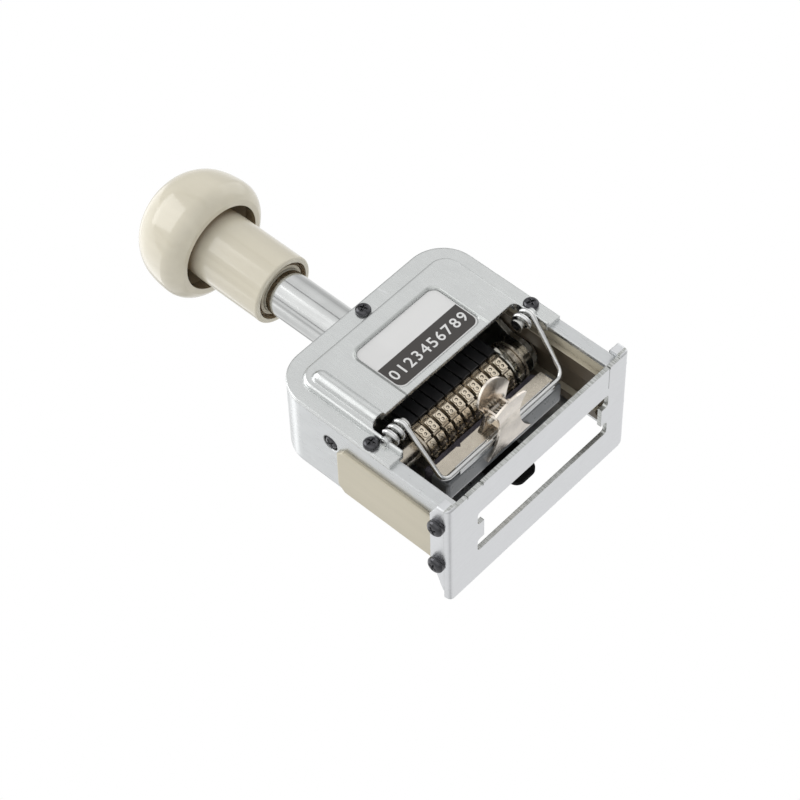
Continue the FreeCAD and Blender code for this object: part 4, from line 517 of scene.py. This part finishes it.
finishNodes = {
    "zincCase": ["casing"],
    "zincCover": ["front_cover"],
    "basePlating": ["base_plate"],
    "platedNut": ["stem_nut", "base_rivets", "rod_nut"],
    "chromeTube": ["stem_tube"],
    "brightSteel": ["bail_pins", "plunger_rod", "wheel_axle", "detent_rod", "clip_pin"],
    "brightWire": ["pad_bail", "hem_channel"],
    "springSteel": ["return_spring", "clip_spring"],
    "carriagePlate": ["wheel_carriage", "drive_ratchet"],
    "stripNickel": ["axle_nuts", "wheel_spacers", "feed_arm", "feed_pawl", "clamp_plate"],
    "wheelNickel": ["number_wheel_%02d" % number for number in range(1, 11)],
    "clipNickel": ["clip_lower", "clip_lever"],
    "bronzeLeaf": ["detent_leaf"],
    "fingerBlack": ["detent_fingers"],
    "screwBlack": ["spring_washers", "cover_screws", "side_screws", "base_screws"],
    "trayGrey": ["pad_tray"],
    "tabBlack": ["aiming_tab"],
    "handleBeige": ["knob", "handle_sleeve"],
    "guideBeige": ["left_guide", "right_guide"],
    "bushBeige": ["sleeve_bush"],
    "labelWhite": ["cover_label"],
    "padFelt": ["ink_pad"],
}


def coat(piece, finish):
    piece.data.materials.clear()
    piece.data.materials.append(finishes[finish])


makeCamera(camera)
makeLamps(light)
makeWorld(light)
bpy.context.scene.view_settings.view_transform = "Standard"
for finish, nodes in finishNodes.items():
    for node in nodes:
        coat(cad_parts[node], finish)
print("camera, lamps and finishes set")


# New pieces

# Puts points and faces in a mesh object that rides on a body
def newPiece(name, points, faces, finish, body, smooth=True):
    mesh = bpy.data.meshes.new(name)
    mesh.from_pydata(np.asarray(points, float).tolist(), [], [list(map(int, face)) for face in faces])
    mesh.validate()
    mesh.update()
    piece = bpy.data.objects.new(name, mesh)
    bpy.context.scene.collection.objects.link(piece)
    coat(piece, finish)
    mesh.polygons.foreach_set("use_smooth", [smooth] * len(mesh.polygons))
    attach(piece, body)
    return piece


# Turns the faces of a closed mesh outwards
def fixOutward(piece):
    work = bmesh.new()
    work.from_mesh(piece.data)
    bmesh.ops.recalc_face_normals(work, faces=work.faces)
    work.to_mesh(piece.data)
    work.free()


# Faces of a grid of rows by columns whose columns close on themselves, with the first and last
# rows closed by one face each
def closedGridFaces(rows, columns):
    row, column = np.meshgrid(np.arange(rows - 1), np.arange(columns), indexing="ij")
    following = (column + 1) % columns
    corners = [row * columns + column, row * columns + following,
               (row + 1) * columns + following, (row + 1) * columns + column]
    faces = np.stack(corners, axis=-1).reshape(-1, 4).tolist()
    faces.append(list(range(columns))[::-1])
    faces.append([(rows - 1) * columns + place for place in range(columns)])
    return faces


padShape = {
    "left": -0.0238, "right": 0.0258, "foot": 0.0150, "shoulder": 0.0209, "top": 0.0252,
    "front": -0.0069, "rear": 0.0015, "stripFront": -0.0053, "stripRear": 0.0005, "stripSharp": 14,
    "round": 0.0011, "square": 0.22, "topStart": 0.55, "topSpread": 1.12, "endTaper": 0.16,
    "sag": 0.00022, "waves": (410, 150), "stations": 72, "around": 120,
}


# The inked pad: a profile in (y, z) of superellipse corners, with a raised strip along its top,
# carried along x. It narrows a little at each end, and its top waves by a share of a millimetre.
def makePad(shape):
    part = np.linspace(0, 2 * math.pi, shape["around"], endpoint=False)
    wide = np.sign(np.cos(part)) * np.abs(np.cos(part)) ** shape["square"]
    tall = np.sign(np.sin(part)) * np.abs(np.sin(part)) ** shape["square"]
    middleY = (shape["front"] + shape["rear"]) / 2
    halfY = (shape["rear"] - shape["front"]) / 2
    stripY = (shape["stripFront"] + shape["stripRear"]) / 2
    halfStrip = (shape["stripRear"] - shape["stripFront"]) / 2
    y = middleY + halfY * wide
    z = shape["foot"] + (shape["shoulder"] - shape["foot"]) * (tall + 1) / 2
    across = np.clip(np.abs((middleY + halfY * np.cos(part) - stripY) / halfStrip), 0, 2)
    lift = (shape["top"] - shape["shoulder"]) / (1 + across ** shape["stripSharp"])
    onTop = tall > shape["topStart"]
    y = np.where(onTop, middleY + halfY * np.cos(part) * shape["topSpread"], y)
    y = np.clip(y, shape["front"], shape["rear"])
    z = np.where(onTop, z + lift, z)
    along = 0.5 - 0.5 * np.cos(math.pi * np.linspace(0, 1, shape["stations"]))
    x = shape["left"] + (shape["right"] - shape["left"]) * along
    left = np.clip((x - shape["left"]) / shape["round"], 0, 1)
    right = np.clip((shape["right"] - x) / shape["round"], 0, 1)
    narrow = 1 - shape["endTaper"] * ((1 - left) ** 2 + (1 - right) ** 2)
    grid = np.zeros((len(x), len(part), 3))
    grid[..., 0] = x[:, None]
    grid[..., 1] = middleY + (y[None, :] - middleY) * narrow[:, None]
    middleZ = (shape["foot"] + shape["shoulder"]) / 2
    grid[..., 2] = middleZ + (z[None, :] - middleZ) * narrow[:, None]
    short, long = shape["waves"]
    wave = shape["sag"] * np.sin(x * short)[:, None] * np.sin(x * long + 1)[:, None]
    grid[..., 2] += np.where(z[None, :] > shape["shoulder"], -np.abs(wave), 0)
    pad = newPiece("inkedPad", grid.reshape(-1, 3), closedGridFaces(len(x), len(part)), "padFelt", "pad_holder")
    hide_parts("ink_pad")


makePad(padShape)
print("ink pad made")


screwShape = {
    "rings": 44, "around": 120, "crownDrop": 0.55, "crownPower": 5, "recessWide": 0.00062, "recessLong": 0.0030,
    "recessDeep": 0.0009, "recessTaper": 0.55, "wall": 0.00008,
}

# Heads: place of the seat, direction the head faces, turn of the cross in degrees
screwSets = {
    "cover_screws": {"piece": "coverScrews", "radius": 0.0025, "height": 0.0017, "heads": [
        ((0.0, -0.0210, 0.0707), (0, -1, 0), 20),
        ((0.0355, -0.0210, 0.0343), (0, -1, 0), 65),
        ((-0.0355, -0.0210, 0.0343), (0, -1, 0), 5),
    ]},
    "side_screws": {"piece": "sideScrews", "radius": 0.0025, "height": 0.0017, "heads": [
        ((-0.0365, -0.0113, 0.0489), (-1, 0, 0), 40),
        ((0.0365, -0.0113, 0.0489), (1, 0, 0), 10),
    ]},
    "base_screws": {"piece": "baseScrews", "radius": 0.0028, "height": 0.0020, "heads": [
        ((-0.0416, -0.0150, 0.0033), (-1, 0, 0), 30),
        ((-0.0416, 0.0034, 0.0033), (-1, 0, 0), 75),
    ]},
}


# A pan head: height is a superellipse of the radius, less a cross whose two bars are soft-edged
# steps of the distance from their middle lines. The side wall goes straight down to the seat.
def panHead(shape, radius, height, turnDegrees):
    ring = np.sin(np.linspace(0, math.pi / 2, shape["rings"]))
    angle = np.linspace(0, 2 * math.pi, shape["around"], endpoint=False)
    r = ring[:, None] * radius
    dome = height * (1 - shape["crownDrop"] * ring[:, None] ** shape["crownPower"]) + 0 * angle[None, :]
    x = r * np.cos(angle)[None, :]
    y = r * np.sin(angle)[None, :]
    turn = math.radians(turnDegrees)
    u = x * math.cos(turn) + y * math.sin(turn)
    v = -x * math.sin(turn) + y * math.cos(turn)

    def inside(across, wide):
        return 1 / (1 + np.exp((np.abs(across) - wide / 2) / shape["wall"] * 2))

    barOne = inside(u, shape["recessWide"]) * inside(v, shape["recessLong"])
    barTwo = inside(v, shape["recessWide"]) * inside(u, shape["recessLong"])
    slope = 1 - shape["recessTaper"] * np.clip(r / (shape["recessLong"] / 2), 0, 1)
    z = dome - shape["recessDeep"] * np.maximum(barOne, barTwo) * slope
    top = np.stack([x, y, z], axis=-1)
    skirt = np.stack([top[-1, :, 0], top[-1, :, 1], np.zeros(len(angle))], axis=-1)
    return np.concatenate([top, skirt[None]], axis=0)


# The three axes of a head that faces sideways: across, up and outward
def headFrame(direction):
    outward = np.array(direction, float)
    across = np.cross(np.array([0, 0, 1.0]), outward)
    return np.stack([across, np.cross(outward, across), outward])


def makeScrews(shape, sets):
    for node, facts in sets.items():
        points, faces, start = [], [], 0
        for place, direction, turn in facts["heads"]:
            grid = panHead(shape, facts["radius"], facts["height"], turn)
            points.append(grid.reshape(-1, 3) @ headFrame(direction) + np.array(place))
            faces += [[corner + start for corner in face] for face in closedGridFaces(*grid.shape[:2])]
            start += len(points[-1])
        heads = newPiece(facts["piece"], np.concatenate(points), faces, "screwBlack", "frame")
        fixOutward(heads)
        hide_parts(node)


makeScrews(screwShape, screwSets)
print("screws made")


axle = {"y": -0.0027, "z": 0.0340}
springShape = {
    "turns": 9, "perTurn": 36, "around": 10, "radius": 0.0055, "wire": 0.0008, "stroke": 0.0256,
}


# The return spring: a circle of the wire's radius carried along a helix. Its foot stands on the
# stem's seat.
def makeReturnSpring(shape):
    low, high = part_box("return_spring")
    wire, radius = shape["wire"], shape["radius"]
    foot, top = low[2] + wire, high[2] - wire
    run = np.linspace(0, 1, shape["turns"] * shape["perTurn"] + 1)[:, None]
    angle = 2 * math.pi * shape["turns"] * run
    nothing = 0 * angle
    outward = np.concatenate([np.cos(angle), np.sin(angle), nothing], axis=1)
    rise = (top - foot) / (2 * math.pi * shape["turns"])
    along = np.concatenate([-radius * np.sin(angle), radius * np.cos(angle), nothing + rise], axis=1)
    along /= math.hypot(radius, rise)
    upward = np.cross(outward, along)
    middle = radius * outward + np.concatenate([nothing, nothing + axle["y"], foot + (top - foot) * run], axis=1)
    around = np.linspace(0, 2 * math.pi, shape["around"], endpoint=False)[None, :, None]
    grid = middle[:, None] + wire * (np.cos(around) * outward[:, None] + np.sin(around) * upward[:, None])
    spring = newPiece("returnSpring", grid.reshape(-1, 3), closedGridFaces(len(run), shape["around"]),
                      "springSteel", "frame")
    fixOutward(spring)
    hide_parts("return_spring")
    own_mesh(spring)


makeReturnSpring(springShape)
print("return spring made")


# Points and faces of one numeral, y from -0.5 to 0.5, x to the same measure and z from 0 to 1
def numeral(text, weight):
    curve = bpy.data.curves.new("numeral", "FONT")
    curve.body = text
    curve.size = 1.0
    curve.resolution_u = 3
    curve.offset = weight
    curve.extrude = 0.5
    holder = bpy.data.objects.new("numeral", curve)
    bpy.context.scene.collection.objects.link(holder)
    bpy.context.view_layer.update()
    mesh = bpy.data.meshes.new_from_object(holder.evaluated_get(bpy.context.evaluated_depsgraph_get()))
    points = np.zeros(len(mesh.vertices) * 3)
    mesh.vertices.foreach_get("co", points)
    points = points.reshape(-1, 3)
    faces = [list(face.vertices) for face in mesh.polygons]
    bpy.data.objects.remove(holder)
    bpy.data.meshes.remove(mesh)
    bpy.data.curves.remove(curve)
    low, high = points.min(0), points.max(0)
    points[:, :2] = (points[:, :2] - (low + high)[:2] / 2) / (high - low)[1]
    points[:, 2] = (points[:, 2] - low[2]) / (high - low)[2]
    return points, faces


figureShape = {
    "wheels": 10, "middleX": 0.001, "pitch": 0.00385, "radius": 0.0084, "turn": 18.0, "first": 3,
    "tall": 0.0037, "wide": 0.0036, "rise": 0.00030, "sink": 0.0002, "weight": 0.006,
}


# Numerals wrapped on the wheels: across goes along x, up goes round the axle. They are
# mirrored, as type is.
def makeFigures(shape):
    glyphs = [numeral(str(digit), shape["weight"]) for digit in range(10)]
    step = 360 / len(glyphs)
    firstX = shape["middleX"] - (shape["wheels"] - 1) / 2 * shape["pitch"]
    for wheel in range(shape["wheels"]):
        points, faces, start = [], [], 0
        for place in range(len(glyphs)):
            glyph, glyphFaces = glyphs[(place + shape["first"]) % len(glyphs)]
            angle = math.radians(shape["turn"] + step * place) + glyph[:, 1] * shape["tall"] / shape["radius"]
            radius = shape["radius"] - shape["sink"] + glyph[:, 2] * (shape["rise"] + shape["sink"])
            across = firstX + shape["pitch"] * wheel + glyph[:, 0] * shape["wide"]
            points.append(np.stack([
                across, axle["y"] + radius * np.cos(angle), axle["z"] + radius * np.sin(angle)], axis=-1))
            faces += [[corner + start for corner in face] for face in glyphFaces]
            start += len(glyph)
        piece = newPiece("figures%02d" % (wheel + 1), np.concatenate(points), faces, "wheelNickel",
                         "wheel_%02d" % (wheel + 1), smooth=False)
        fixOutward(piece)


makeFigures(figureShape)
print("figures made")


labelShape = {
    "face": -0.02235, "left": -0.0150, "right": 0.0196, "low": 0.0412, "bandTop": 0.0508, "ink": 0.00005,
    "lift": 0.00003, "round": 0.0026, "cornerPoints": 9, "digits": 10, "tall": 0.0040, "step": 0.00335,
    "weight": 0.01,
}


# Flat pieces printed on the label: a band with round lower corners, as one outline with a front
# and a back, and a row of plain numerals
def makeLabelPrint(shape):
    angle = np.linspace(0, math.pi / 2, shape["cornerPoints"])
    r = shape["round"]
    fall = shape["low"] + r
    cornerLeft = np.stack([shape["left"] + r - r * np.cos(angle), fall - r * np.sin(angle)], axis=-1)
    cornerRight = np.stack([shape["right"] - r + r * np.sin(angle), fall - r * np.cos(angle)], axis=-1)
    outline = np.concatenate([
        [[shape["left"], shape["bandTop"]]], cornerLeft, cornerRight, [[shape["right"], shape["bandTop"]]]])
    count = len(outline)
    front = np.insert(outline, 1, shape["face"] - shape["ink"], axis=1)
    back = np.insert(outline, 1, shape["face"] + shape["ink"], axis=1)
    faces = [list(range(count)), list(range(count, 2 * count))[::-1]]
    faces += [[k, (k + 1) % count, (k + 1) % count + count, k + count] for k in range(count)]
    band = newPiece("labelBand", np.concatenate([front, back]), faces, "labelDark", "frame",
                    smooth=False)
    fixOutward(band)
    points, faces, start = [], [], 0
    middle = (shape["left"] + shape["right"]) / 2
    for digit in range(shape["digits"]):
        glyph, glyphFaces = numeral(str(digit), shape["weight"])
        x = middle + (digit - (shape["digits"] - 1) / 2) * shape["step"] + glyph[:, 0] * shape["tall"]
        z = (shape["low"] + shape["bandTop"]) / 2 + glyph[:, 1] * shape["tall"]
        y = shape["face"] - shape["ink"] - shape["lift"] * glyph[:, 2]
        points.append(np.stack([x, y, z], axis=-1))
        faces += [[corner + start for corner in face] for face in glyphFaces]
        start += len(glyph)
    row = newPiece("labelNumerals", np.concatenate(points), faces, "labelWhite", "frame", smooth=False)
    fixOutward(row)


makeLabelPrint(labelShape)
print("label printed")


def makeFloor(facts):
    half = facts["floorSize"]
    z = -facts["floorDrop"]
    mesh = bpy.data.meshes.new("paleFloor")
    mesh.from_pydata([(-half, -half, z), (half, -half, z), (half, half, z), (-half, half, z)], [], [(0, 1, 2, 3)])
    floor = bpy.data.objects.new("paleFloor", mesh)
    bpy.context.scene.collection.objects.link(floor)
    mesh.materials.append(floorMaterial(floorLook))


makeFloor(light)
